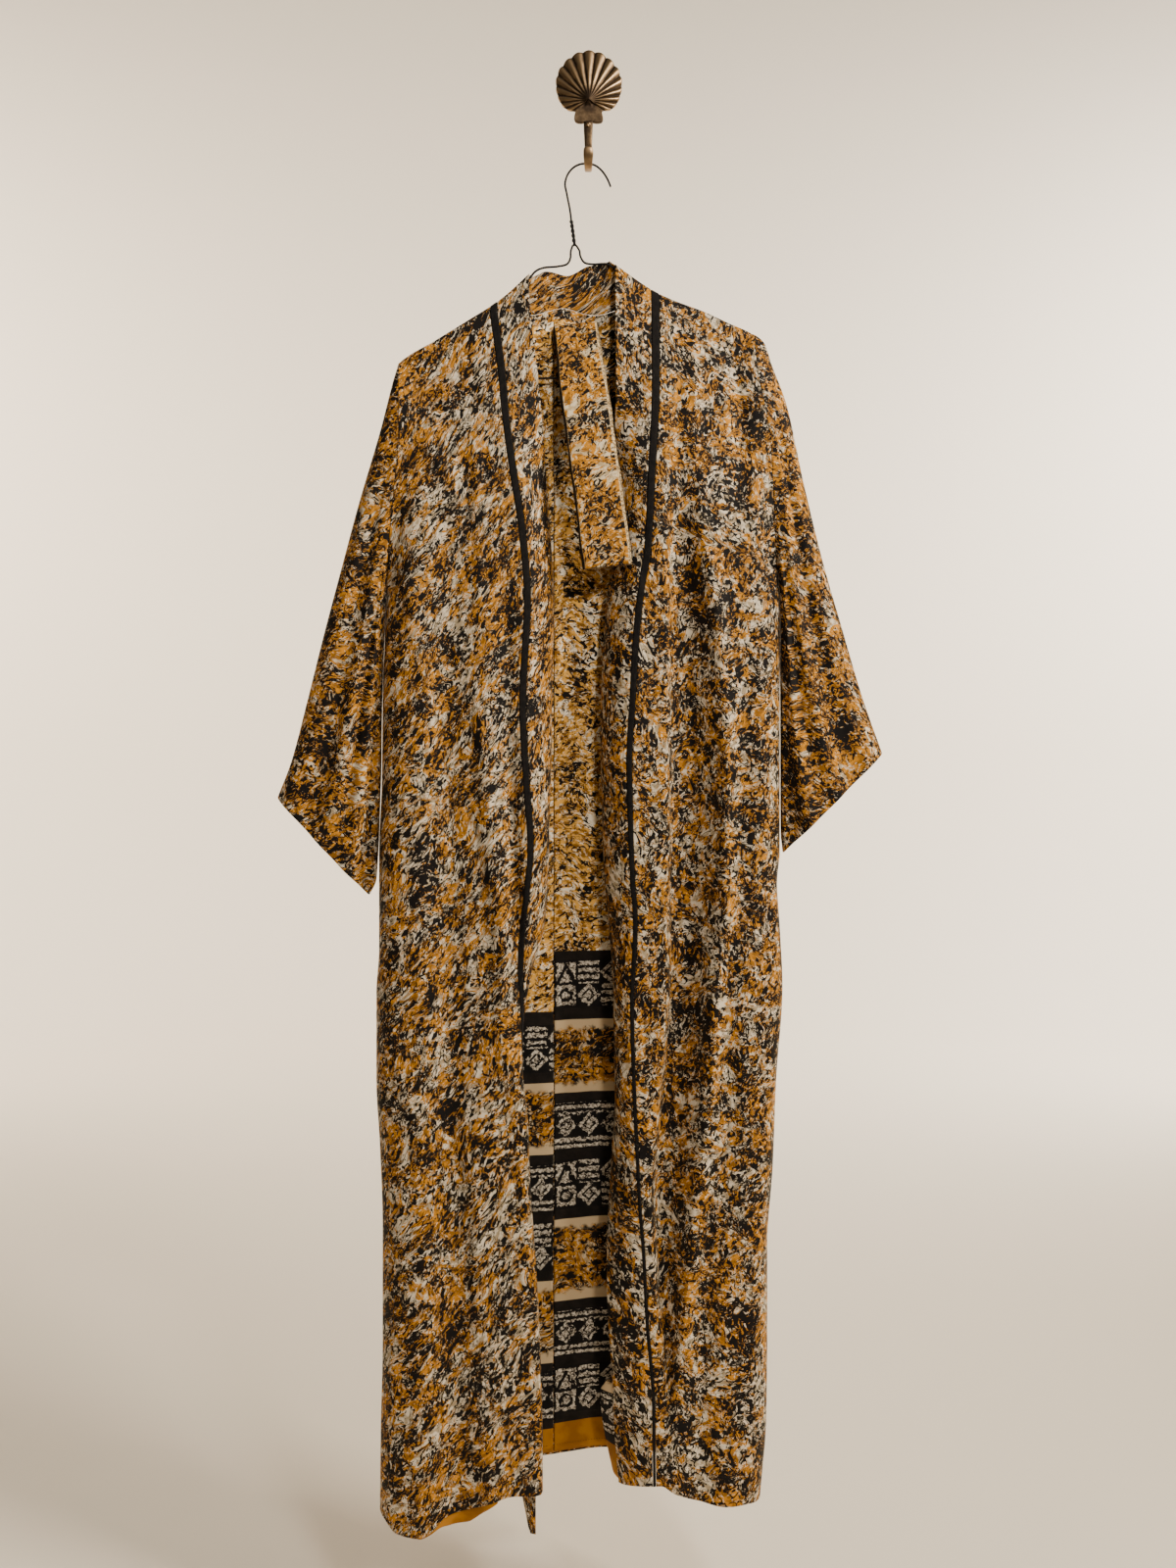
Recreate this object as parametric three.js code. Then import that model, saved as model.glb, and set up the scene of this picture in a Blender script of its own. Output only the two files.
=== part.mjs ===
import * as THREE from "three";

// A long lined kimono robe on a wire hanger, hung from a shell-shaped wall hook.
// Millimetres. Z is up, the wall is the plane y = 0 and the robe hangs in front of it, towards -Y.
// The origin is the middle of the hook plate's flat back.

// Driving sizes
const CLOTH = 1.6;
const BAND_CLOTH = 2.2;
const LINING_CLOTH = 1.3;
const GAP = 0.3;
const HANG_Y = -38;
const RIDGE_ROUND = 4.8;
const WIRE_RADIUS = 1.15;
const SIDE_ROUND = 26;
const ARMHOLE_HALF = 15;
const ARMHOLE_POWER = 2.4;
const CUFF_HALF = 17;
const TURN_LIMIT = 170;
const TURN_SPAN = 47;
const UNDERARM_SHARE = 0.197;
const LINING_SEAM_X = -38.6;
const LINING_SEAM_SHARE = 0.44;
const SETTLE_STEPS = 14;

// Smooth curve through the rows of a table: the column named by y against the column named by x.
function curve(names, rows, x, y) {
  const ix = names.indexOf(x);
  const iy = names.indexOf(y);
  const pts = rows.map((r) => [r[ix], r[iy]]).sort((p, q) => p[0] - q[0]);
  const n = pts.length;
  const slope = [];
  for (let i = 0; i < n - 1; i++) {
    slope.push((pts[i + 1][1] - pts[i][1]) / (pts[i + 1][0] - pts[i][0]));
  }
  const tangent = pts.map((p, i) => {
    if (i === 0) return slope[0];
    if (i === n - 1) return slope[n - 2];
    const a = slope[i - 1];
    const b = slope[i];
    return a * b <= 0 ? 0 : (2 * a * b) / (a + b);
  });
  return (at) => {
    if (at <= pts[0][0]) return pts[0][1];
    if (at >= pts[n - 1][0]) return pts[n - 1][1];
    let i = 0;
    while (at > pts[i + 1][0]) i++;
    const h = pts[i + 1][0] - pts[i][0];
    const s = (at - pts[i][0]) / h;
    const s2 = s * s;
    const s3 = s2 * s;
    return (
      (2 * s3 - 3 * s2 + 1) * pts[i][1] +
      (s3 - 2 * s2 + s) * h * tangent[i] +
      (3 * s2 - 2 * s3) * pts[i + 1][1] +
      (s3 - s2) * h * tangent[i + 1]
    );
  };
}

const lerp = (a, b, t) => a + (b - a) * t;
const clamp = (v, lo, hi) => Math.min(hi, Math.max(lo, v));
const smooth = (v) => {
  const s = clamp(v, 0, 1);
  return s * s * (3 - 2 * s);
};
const roundOff = (q) => (q >= 1 ? 1 : Math.sqrt(Math.max(0, 1 - (1 - q) * (1 - q))));
const bell = (d, width) => Math.exp(-(d * d) / (width * width));

// Shoulder line of the hung cloth; between the two neck edges it runs on to a peak above the collar.
const SHOULDER = ["x", "z"];
const SHOULDER_ROWS = [
  [-213, -331],
  [-207, -325],
  [-170, -303],
  [-131, -279],
  [-107, -264],
  [-92, -253],
  [-64, -227],
  [-20, -182],
  [22, -212],
  [38, -224],
  [59, -239],
  [75, -249],
  [97, -259],
  [129, -271],
  [157, -284],
  [184, -296],
  [199, -309],
];
const shoulder = curve(SHOULDER, SHOULDER_ROWS, "x", "z");

// How far the cloth stands out from the hanger's plane, by the drop below the shoulder line.
const FALL = ["drop", "front", "back"];
const FALL_ROWS = [
  [0, 0, 0],
  [30, 2.5, 1.6],
  [60, 5.5, 3.4],
  [110, 10, 6.4],
  [200, 17, 10.5],
  [320, 21.5, 14],
  [600, 25, 17],
  [900, 27, 18.4],
  [1400, 30, 19.6],
];
const fallFront = curve(FALL, FALL_ROWS, "drop", "front");
const fallBack = curve(FALL, FALL_ROWS, "drop", "back");

// Side seams, from the shoulder tip to the hem.
const SIDE = ["z", "x"];
const sideLeft = curve(SIDE, [
  [-328, -210],
  [-410, -209],
  [-470, -214],
  [-533, -220],
  [-624, -225],
  [-700, -228],
  [-791, -229],
  [-874, -232],
  [-978, -232],
  [-1027, -235],
  [-1124, -235],
  [-1197, -231],
  [-1286, -228],
  [-1419, -228],
  [-1509, -230],
  [-1597, -231],
], "z", "x");
const sideRight = curve(SIDE, [
  [-296, 184],
  [-340, 187],
  [-359, 191],
  [-410, 200],
  [-471, 204],
  [-533, 207],
  [-578, 212],
  [-660, 213],
  [-871, 213],
  [-905, 210],
  [-954, 213],
  [-1020, 216],
  [-1124, 209],
  [-1221, 205],
  [-1308, 199],
  [-1400, 199],
  [-1496, 198],
  [-1584, 191],
], "z", "x");

// Hems by x: the two fronts and the back.
const HEM = ["x", "z"];
const hemFrontLeft = curve(HEM, [
  [-231, -1597],
  [-222, -1601],
  [-209, -1611],
  [-185, -1614],
  [-170, -1608],
  [-155, -1595],
  [-129, -1586],
  [-105, -1577],
  [-82, -1571],
  [-48, -1570],
], "x", "z");
const hemFrontRight = curve(HEM, [
  [30, -1568],
  [64, -1561],
  [80, -1560],
  [95, -1569],
  [120, -1577],
  [145, -1581],
  [171, -1580],
  [191, -1584],
], "x", "z");
const hemBack = curve(HEM, [
  [-231, -1597],
  [-190, -1588],
  [-140, -1572],
  [-90, -1560],
  [-50, -1553],
  [-20, -1548],
  [15, -1545],
  [80, -1552],
  [140, -1568],
  [191, -1584],
], "x", "z");
// Armhole opening: half of its width, front to back, along the side edge of the body.
function armholeHalf(share) {
  if (share <= 0 || share >= 1) return 0;
  const end = Math.pow(Math.abs(2 * share - 1), ARMHOLE_POWER);
  return ARMHOLE_HALF * Math.pow(1 - end, 1 / ARMHOLE_POWER);
}

// Height of the side edge at a share of the way from the shoulder tip to the hem.
function edgeHeight(side, hem, share) {
  let z = -400;
  for (let i = 0; i < SETTLE_STEPS + 6; i++) {
    z = lerp(shoulder(side(z)), hem(side(z)), share);
  }
  return z;
}
function bodyHalf(side, sign) {
  return {
    side,
    sign,
    tipZ: edgeHeight(side, hemBack, 0),
    underZ: edgeHeight(side, hemBack, UNDERARM_SHARE),
  };
}
const LEFT = bodyHalf(sideLeft, -1);
const RIGHT = bodyHalf(sideRight, 1);

// Cloth distance from the hanger's plane at x, z near one side seam, before any fold is added.
// Where the armhole is wider than ARMHOLE_BLEND the side rises from its edge, elsewhere from 0.
const ARMHOLE_BLEND = 4;
function standOut(half, fall, x, z) {
  const drop = Math.max(0, shoulder(x) - z);
  const full = RIDGE_ROUND * roundOff(drop / RIDGE_ROUND) + fall(drop);
  const inward = Math.max(0, -half.sign * (x - half.side(z)));
  const hole = armholeHalf((half.tipZ - z) / (half.tipZ - half.underZ));
  const reach = inward / SIDE_ROUND;
  const open = clamp(hole / ARMHOLE_BLEND, 0, 1);
  const rise = lerp(roundOff(reach), smooth(reach), open);
  return lerp(hole, full, rise);
}

// Folds of the fronts: a soft ridge (plus) or trough (minus) that runs down the cloth.
// x is the line of the fold at the row's z, width its half width, depth how far it stands out.
const FOLD = ["z", "x", "width", "depth"];
function fold(rows) {
  const x = curve(FOLD, rows, "z", "x");
  const width = curve(FOLD, rows, "z", "width");
  const depth = curve(FOLD, rows, "z", "depth");
  return (px, z) => depth(z) * bell(px - x(z), width(z));
}
const FOLDS_LEFT = [
  fold([
    [-360, -118, 12, 0],
    [-573, -112, 12, 2.5],
    [-805, -110, 12, 3.5],
    [-936, -98, 12, 3.5],
    [-1048, -90, 12, 2],
    [-1200, -84, 14, 0],
  ]),
  fold([
    [-420, -180, 16, 0],
    [-640, -186, 17, 3.2],
    [-900, -190, 18, 4.5],
    [-1200, -184, 18, 5],
    [-1600, -182, 20, 6],
  ]),
  fold([
    [-420, -152, 14, 0],
    [-700, -154, 15, -3],
    [-1000, -150, 16, -4],
    [-1300, -144, 17, -5],
    [-1600, -142, 18, -5.5],
  ]),
  fold([
    [-900, -110, 14, 0],
    [-1200, -112, 15, 2.5],
    [-1600, -104, 16, 4],
  ]),
];
const FOLDS_RIGHT = [
  fold([
    [-330, 166, 10, 0],
    [-420, 170, 12, -3],
    [-560, 176, 14, -2],
    [-700, 180, 14, 0],
  ]),
  fold([
    [-420, 178, 14, 0],
    [-800, 182, 15, 1.5],
    [-1100, 172, 16, 2],
    [-1350, 158, 18, 3],
    [-1584, 150, 20, 3],
  ]),
  fold([
    [-1180, 120, 16, 0],
    [-1360, 128, 16, -3],
    [-1584, 122, 18, -4],
  ]),
];
const FOLDS_BACK = [
  fold([
    [-420, -120, 26, 0],
    [-800, -126, 28, 2],
    [-1597, -140, 30, 4],
  ]),
  fold([
    [-420, -50, 26, 0],
    [-800, -44, 28, -2],
    [-1597, -30, 30, -4],
  ]),
  fold([
    [-420, 40, 26, 0],
    [-800, 50, 28, 2],
    [-1597, 60, 30, 3.5],
  ]),
  fold([
    [-420, 120, 24, 0],
    [-900, 124, 26, -2.5],
    [-1597, 126, 26, -3.5],
  ]),
];

// Deep pocket of the right front: it falls in behind a sharp inner line over POCKET_LIP, lies flat
// for POCKET_FLOOR of its width, and climbs to a ridge past the outer line.
const POCKET_LIP = 9;
const POCKET_FLOOR = 0.32;
const POCKET_LEAST = 6;
const POCKET_RIDGE = { offset: 4, width: 12, share: 0.32 };
const POCKET = ["z", "inner", "outer", "depth"];
const POCKET_ROWS = [
  [-400, 90, 120, 0],
  [-518, 86, 126, 8],
  [-573, 86, 134, 12],
  [-682, 86, 145, 14],
  [-791, 86, 149, 15],
  [-945, 86, 148, 15],
  [-998, 86, 138, 15],
  [-1094, 81, 133, 14],
  [-1164, 74, 129, 13],
  [-1255, 69, 117, 12],
  [-1332, 73, 109, 10],
  [-1408, 79, 99, 7],
  [-1471, 84, 92, 0],
];
const pocketInner = curve(POCKET, POCKET_ROWS, "z", "inner");
const pocketOuter = curve(POCKET, POCKET_ROWS, "z", "outer");
const pocketDepth = curve(POCKET, POCKET_ROWS, "z", "depth");
function pocket(x, z) {
  const inner = pocketInner(z);
  const outer = pocketOuter(z);
  const depth = pocketDepth(z);
  const across = (x - inner) / Math.max(POCKET_LEAST, outer - inner);
  const fallIn = smooth((x - inner) / POCKET_LIP);
  const climb = smooth((across - POCKET_FLOOR) / (1 - POCKET_FLOOR));
  const ridge = POCKET_RIDGE.share * bell(x - outer - POCKET_RIDGE.offset, POCKET_RIDGE.width);
  return depth * (ridge - fallIn * (1 - climb));
}

const sum = (folds, x, z) => folds.reduce((all, f) => all + f(x, z), 0);

// Folds fade out over FADE_SIDE to the side seam, and over FADE_TOP to just below the shoulder line.
const FADE_SIDE = 30;
const FADE_TOP = 70;
const FADE_TOP_START = 8;
function edgeFade(half, x, z) {
  const fromSide = -half.sign * (x - half.side(z));
  return smooth(fromSide / FADE_SIDE) * smooth((shoulder(x) - z - FADE_TOP_START) / FADE_TOP);
}
function frontY(half, x, z) {
  const folds =
    half === LEFT ? sum(FOLDS_LEFT, x, z) : sum(FOLDS_RIGHT, x, z) + pocket(x, z);
  return HANG_Y - standOut(half, fallFront, x, z) - folds * edgeFade(half, x, z);
}
const MIDDLE_X = -12;
function backY(x, z) {
  const half = x < MIDDLE_X ? LEFT : RIGHT;
  const folds = sum(FOLDS_BACK, x, z);
  return HANG_Y + standOut(half, fallBack, x, z) + folds * edgeFade(half, x, z);
}

// Front opening: where the cloth starts to turn back, how far on the band seam lies, the band's
// width and the angle in degrees that the cloth turns over 47 mm.
const OPENING = ["z", "start", "seam", "width", "turn"];
const OPENING_LEFT_ROWS = [
  [-225, -113, 3, 36, 0],
  [-267, -112, 3, 36, 0],
  [-315, -106, 3, 36, 8],
  [-345, -102, 3, 36, 13],
  [-388, -98, 3, 38, 26],
  [-453, -89, 3, 42, 56],
  [-518, -79, 3, 45, 72],
  [-594, -73, 3, 45, 76],
  [-709, -78, 3, 45, 70],
  [-791, -74, 3, 45, 82],
  [-866, -69, 3, 45, 104],
  [-921, -75, 4, 45, 92],
  [-952, -80, 5, 45, 84],
  [-1010, -84, 8, 45, 130],
  [-1048, -84, 12, 45, 190],
  [-1100, -82, 16, 45, 260],
  [-1166, -74, 18, 45, 330],
  [-1245, -70, 18, 45, 350],
  [-1329, -64, 18, 45, 350],
  [-1437, -59, 18, 45, 350],
  [-1522, -57, 18, 45, 350],
  [-1625, -57, 18, 45, 350],
];
const OPENING_RIGHT_ROWS = [
  [-205, 82, 3, 40, 0],
  [-259, 82, 3, 40, 0],
  [-315, 82, 3, 40, 6],
  [-345, 82, 3, 40, 10],
  [-383, 81, 3, 41, 18],
  [-450, 77, 3, 43, 44],
  [-538, 72, 3, 45, 58],
  [-581, 65, 3, 45, 58],
  [-636, 59, 3, 45, 60],
  [-701, 55, 3, 45, 63],
  [-775, 51, 3, 45, 72],
  [-839, 52, 3, 45, 74],
  [-899, 54, 3, 45, 74],
  [-944, 57, 3, 45, 77],
  [-1042, 53, 3, 45, 108],
  [-1128, 55, 3, 45, 106],
  [-1194, 58, 3, 45, 87],
  [-1257, 61, 3, 45, 68],
  [-1307, 65, 3, 45, 47],
  [-1382, 69, 3, 45, 36],
  [-1472, 76, 3, 45, 30],
  [-1570, 77, 3, 45, 52],
];
const PIPING = ["z", "width"];
function opening(half, rows, pipeTop, pipeLow) {
  const read = (name) => curve(OPENING, rows, "z", name);
  const pipe = curve(PIPING, [
    [-250, pipeTop],
    [-700, lerp(pipeTop, pipeLow, 0.4)],
    [-1300, pipeLow],
    [-1600, pipeLow],
  ], "z", "width");
  return {
    half,
    pipe,
    start: read("start"),
    seam: read("seam"),
    width: read("width"),
    turn: read("turn"),
  };
}
const OPEN_LEFT = opening(LEFT, OPENING_LEFT_ROWS, 8.4, 6.2);
const OPEN_RIGHT = opening(RIGHT, OPENING_RIGHT_ROWS, 9, 3.4);

// Point of a front at a share of the way from shoulder to hem.
// across: 0 at the side seam, 1 where the cloth starts to turn, and then millimetres along the cloth.
const SLOWEST_TURN = 1e-4;
function frontPoint(open, hem, across, along, share) {
  const half = open.half;
  let x = lerp(half.side(-400), open.start(-400), 0.5);
  let z = lerp(shoulder(x), hem(x), share);
  let back = 0;
  for (let i = 0; i < SETTLE_STEPS; i++) {
    const start = open.start(z);
    if (along === null) {
      x = lerp(half.side(z), start, across);
    } else {
      const rate = (open.turn(z) * Math.PI) / 180 / TURN_SPAN;
      const limit = (TURN_LIMIT * Math.PI) / 180;
      const length = along(z);
      const straight = rate < SLOWEST_TURN;
      const bent = straight ? length : Math.min(length, limit / rate);
      const angle = rate * bent;
      const forward = straight ? bent : Math.sin(angle) / rate;
      const rest = length - bent;
      back = straight ? 0 : (1 - Math.cos(angle)) / rate;
      back += rest * Math.sin(angle);
      x = start - half.sign * (forward + rest * Math.cos(angle));
    }
    z = lerp(shoulder(x), hem(x), share);
  }
  const y = frontY(half, x, z) + back - GAP / 2;
  return new THREE.Vector3(x, y, z);
}

function backPoint(across, share) {
  let x = 0;
  let z = lerp(shoulder(x), hemBack(x), share);
  for (let i = 0; i < SETTLE_STEPS; i++) {
    x =
      across <= LINING_SEAM_SHARE
        ? lerp(sideLeft(z), LINING_SEAM_X, across / LINING_SEAM_SHARE)
        : lerp(LINING_SEAM_X, sideRight(z), (across - LINING_SEAM_SHARE) / (1 - LINING_SEAM_SHARE));
    z = lerp(shoulder(x), hemBack(x), share);
  }
  return new THREE.Vector3(x, backY(x, z) + GAP / 2, z);
}

// Thin wall on a surface: point(u, v) for u and v from 0 to 1, at the stations of us and vs.
// inset moves the outer face in along the normal; wrap joins the last column to the first.
// Where the cloth meets the hanger's plane, at shoulder and side seams, its end wall lies in it.
// A wrapped wall is a sleeve: its first ring stands in a plane of constant x, along the armhole.
const SLOPE_STEP = 2e-4;
function wall(point, us, vs, thickness, inset = 0, wrap = false) {
  const step = SLOPE_STEP;
  const [uLo, uHi, vLo, vHi] = [us[0], us[us.length - 1], vs[0], vs[vs.length - 1]];
  const at = (u, v) => point(wrap ? u : clamp(u, uLo, uHi), clamp(v, vLo, vHi));
  const outer = [];
  const inner = [];
  for (const v of vs) {
    for (const u of us) {
      const here = at(u, v);
      const du = at(u + step, v).sub(at(u - step, v));
      const dv = at(u, v + step).sub(at(u, v - step));
      const normal = du.cross(dv);
      if (wrap && v === vLo) normal.x = 0;
      if (Math.abs(here.y - HANG_Y) < GAP) normal.y = 0;
      normal.normalize();
      outer.push(here.clone().addScaledVector(normal, -inset));
      inner.push(here.clone().addScaledVector(normal, -inset - thickness));
    }
  }
  const nu = us.length;
  const nv = vs.length;
  const points = [...outer, ...inner];
  const far = outer.length;
  const faces = [];
  const quad = (a, b, c, d) => {
    const short = points[a].distanceTo(points[c]) <= points[b].distanceTo(points[d]);
    if (short) faces.push(a, b, c, a, c, d);
    else faces.push(a, b, d, b, c, d);
  };
  const columns = wrap ? nu : nu - 1;
  const id = (i, j) => j * nu + (i % nu);
  for (let j = 0; j < nv - 1; j++) {
    for (let i = 0; i < columns; i++) {
      quad(id(i, j), id(i + 1, j), id(i + 1, j + 1), id(i, j + 1));
      quad(
        far + id(i, j + 1),
        far + id(i + 1, j + 1),
        far + id(i + 1, j),
        far + id(i, j),
      );
    }
  }
  for (let i = 0; i < columns; i++) {
    quad(id(i + 1, 0), id(i, 0), far + id(i, 0), far + id(i + 1, 0));
    quad(
      id(i, nv - 1),
      id(i + 1, nv - 1),
      far + id(i + 1, nv - 1),
      far + id(i, nv - 1),
    );
  }
  if (!wrap) {
    for (let j = 0; j < nv - 1; j++) {
      quad(id(0, j), id(0, j + 1), far + id(0, j + 1), far + id(0, j));
      quad(
        id(nu - 1, j + 1),
        id(nu - 1, j),
        far + id(nu - 1, j),
        far + id(nu - 1, j + 1),
      );
    }
  }
  return meshOf(points, faces);
}

function meshOf(points, faces) {
  const geometry = new THREE.BufferGeometry();
  geometry.setAttribute(
    "position",
    new THREE.Float32BufferAttribute(points.flatMap((p) => [p.x, p.y, p.z]), 3),
  );
  geometry.setIndex(faces);
  if (signedVolume(points, faces) < 0) {
    for (let i = 0; i < faces.length; i += 3) {
      const keep = faces[i];
      faces[i] = faces[i + 1];
      faces[i + 1] = keep;
    }
    geometry.setIndex(faces);
  }
  geometry.computeVertexNormals();
  return geometry;
}

function signedVolume(points, faces) {
  let total = 0;
  for (let i = 0; i < faces.length; i += 3) {
    const a = points[faces[i]];
    const b = points[faces[i + 1]];
    const c = points[faces[i + 2]];
    total += a.dot(b.clone().cross(c)) / 6;
  }
  return total;
}

// Solid through a row of closed rings with the same number of points, capped at both ends.
function loft(rings) {
  const n = rings[0].length;
  const points = rings.flat();
  const faces = [];
  for (let j = 0; j < rings.length - 1; j++) {
    for (let i = 0; i < n; i++) {
      const a = j * n + i;
      const b = j * n + ((i + 1) % n);
      faces.push(a, b, b + n, a, b + n, a + n);
    }
  }
  const last = (rings.length - 1) * n;
  for (const [base, flip] of [
    [0, true],
    [last, false],
  ]) {
    const middle = new THREE.Vector3();
    for (let i = 0; i < n; i++) middle.add(points[base + i]);
    points.push(middle.multiplyScalar(1 / n));
    const c = points.length - 1;
    for (let i = 0; i < n; i++) {
      const a = base + i;
      const b = base + ((i + 1) % n);
      if (flip) faces.push(b, a, c);
      else faces.push(a, b, c);
    }
  }
  return meshOf(points, faces);
}

// Round bar along a smooth path. The section keeps its turn from ring to ring.
function rod(path, radius, sides, steps) {
  const line = new THREE.CatmullRomCurve3(
    path.map((p) => new THREE.Vector3(...p)),
    false,
    "centripetal",
  );
  const rings = [];
  let side = new THREE.Vector3(0, 1, 0);
  for (let j = 0; j <= steps; j++) {
    const at = line.getPointAt(j / steps);
    const tangent = line.getTangentAt(j / steps);
    side = side.clone().addScaledVector(tangent, -side.dot(tangent)).normalize();
    const other = tangent.clone().cross(side);
    const ring = [];
    for (let i = 0; i < sides; i++) {
      const angle = (i / sides) * 2 * Math.PI;
      const point = at.clone().addScaledVector(side, radius * Math.cos(angle));
      ring.push(point.addScaledVector(other, radius * Math.sin(angle)));
    }
    rings.push(ring);
  }
  return loft(rings);
}

const even = (n) => Array.from({ length: n + 1 }, (_, i) => i / n);

const kimono = new THREE.Group();
kimono.name = "kimono";
const CLOTH_ROUGHNESS = 0.8;
const METAL_ROUGHNESS = 0.4;
function add(name, geometry, color, metal = 0) {
  const material = new THREE.MeshStandardMaterial({
    color,
    metalness: metal,
    roughness: metal ? METAL_ROUGHNESS : CLOTH_ROUGHNESS,
    side: THREE.DoubleSide,
  });
  const mesh = new THREE.Mesh(geometry, material);
  mesh.name = name;
  kimono.add(mesh);
}

const PRINT = "#a68a5c";
const PRINT_DEEP = "#957647";
const LINING = "#b09268";
const BLACK = "#211d1c";
const BRASS = "#8a6a3c";
const GOLD = "#8a5a12";

// Rows of the fronts and the back: shares of the way from the shoulder line to the hem.
const SLEEVE_SHARES = [0, 0.002, 0.0075, 0.02, 0.05, 0.13, 0.25, 0.4, 0.57, 0.74, 0.88, 0.96, 0.99, 1];
const BELOW_SLEEVE = [
  0.235, 0.285, 0.335, 0.385, 0.43, 0.475, 0.52, 0.565, 0.61, 0.66, 0.72, 0.79, 0.86, 0.93, 1,
];
const armholeShares = SLEEVE_SHARES.map((s) => s * UNDERARM_SHARE);
const shares = [...armholeShares, ...BELOW_SLEEVE];
const rowsBack = [...armholeShares, 0.26, 0.34, 0.43, 0.52, 0.62, 0.72, 0.82, 0.91, 1];

// A wall's outer face looks along du x dv, so the left half takes its columns the other way round.
const flip = (point) => (u, v) => point(-u, v);
const mirrored = (us) => us.map((u) => -u).reverse();
function frontWall(open, point, us, rows, thickness, inset = 0) {
  if (open.half === RIGHT) return wall(point, us, rows, thickness, inset);
  return wall(flip(point), mirrored(us), rows, thickness, inset);
}

// Front panels run from the side seam to the band seam. TURN_COLUMN is where the cloth turns back.
const TURN_COLUMN = 0.9;
function frontPanel(open, hem, us) {
  const point = (u, v) => {
    if (u <= TURN_COLUMN) return frontPoint(open, hem, u / TURN_COLUMN, null, v);
    const t = (u - TURN_COLUMN) / (1 - TURN_COLUMN);
    return frontPoint(open, hem, 1, (z) => t * (open.seam(z) - GAP / 2), v);
  };
  return frontWall(open, point, us, shares, CLOTH);
}
const SIDE_STATIONS = [0, 0.006, 0.03, 0.08, 0.15];
const columnsLeft = [...SIDE_STATIONS, 0.24, 0.33, 0.42, 0.51, 0.6, 0.69, 0.78, 0.84, 0.9, 1];
const columnsRight = [
  ...SIDE_STATIONS, 0.23, 0.31, 0.39, 0.47, 0.55, 0.62, 0.69, 0.75, 0.8, 0.85, 0.9, 1,
];
add("front_left", frontPanel(OPEN_LEFT, hemFrontLeft, columnsLeft), PRINT);
add("front_right", frontPanel(OPEN_RIGHT, hemFrontRight, columnsRight), PRINT);

// Strip along the opening: u runs from its seam side to its free side, in the same rows as the front.
function openingStrip(open, hem, from, to, us, rows, thickness, inset = 0) {
  const point = (u, v) => frontPoint(open, hem, 1, (z) => lerp(from(z), to(z), u), v);
  return frontWall(open, point, us, rows, thickness, inset);
}
const bandFrom = (open) => (z) => open.seam(z) + open.pipe(z) + GAP / 2;
const bandTo = (open) => (z) => open.seam(z) + open.pipe(z) + open.width(z);
const POINT_COLUMN = 0.3;
const BLUNT = 0.02;
const BAND_COLUMNS = 6;
function pipingAndBand(side, open, hem, longer) {
  const from = (z) => open.seam(z) + GAP / 2;
  const to = (z) => open.seam(z) + open.pipe(z) - GAP / 2;
  add("piping_" + side, openingStrip(open, hem, from, to, [0, 1], shares, BAND_CLOTH), BLACK);
  const corner = (u, v) => (v <= 1 ? v : 1 + longer * clamp(1 - u / POINT_COLUMN, BLUNT, 1));
  const point = (u, v) => {
    const along = (z) => lerp(bandFrom(open)(z), bandTo(open)(z), u);
    return frontPoint(open, hem, 1, along, corner(u, v));
  };
  const rows = longer ? [...shares, 2] : shares;
  add("band_" + side, frontWall(open, point, even(BAND_COLUMNS), rows, BAND_CLOTH), PRINT_DEEP);
}
// The left band's end hangs lower than the hem, down to a point.
const BAND_LEFT_LONGER = 0.036;
pipingAndBand("left", OPEN_LEFT, hemFrontLeft, BAND_LEFT_LONGER);
pipingAndBand("right", OPEN_RIGHT, hemFrontRight, 0);

// Neck seam of the back: drop below the shoulder line by x, zero where it meets the two fronts.
const NECK_LEFT_X = -112;
const NECK_RIGHT_X = 82;
const NECK_SEAM = ["x", "drop"];
const neckDropAt = curve(NECK_SEAM, [
  [-112, 0],
  [-103, 8],
  [-68, 42],
  [-14, 84],
  [40, 40],
  [73, 12],
  [82, 0],
], "x", "drop");
const inNeck = (x) => x > NECK_LEFT_X + 1e-6 && x < NECK_RIGHT_X - 1e-6;
const neckDrop = (x) => (inNeck(x) ? neckDropAt(x) : 0);
const seamHalfGap = (drop) => (GAP / 2) * clamp(drop / 3, 0, 1);

// Back panel: it starts at the shoulder line and, between the fronts, at the neck seam.
function backBody(u, v) {
  let p = backPoint(u, v);
  for (let i = 0; i < SETTLE_STEPS - 6; i++) {
    const length = shoulder(p.x) - hemBack(p.x);
    const drop = neckDrop(p.x);
    p = backPoint(u, lerp((drop + seamHalfGap(drop)) / length, 1, v));
  }
  return p;
}
const ridgeShare = (x) =>
  x < LINING_SEAM_X
    ? (LINING_SEAM_SHARE * (x - sideLeft(0))) / (LINING_SEAM_X - sideLeft(0))
    : LINING_SEAM_SHARE +
      ((1 - LINING_SEAM_SHARE) * (x - LINING_SEAM_X)) / (sideRight(0) - LINING_SEAM_X);
const neckX = [-112, -110, -104, -92, -74, -56, -38.6, -24, -6, 14, 34, 54, 70, 77, 80.5, 82];
const columnsBack = [
  0, 0.006, 0.025, 0.06, 0.11, 0.175, ...neckX.map(ridgeShare), 0.81, 0.87, 0.92, 0.955, 0.98,
  0.995, 1,
];
add("back", wall(backBody, columnsBack, rowsBack, CLOTH), PRINT);

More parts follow.
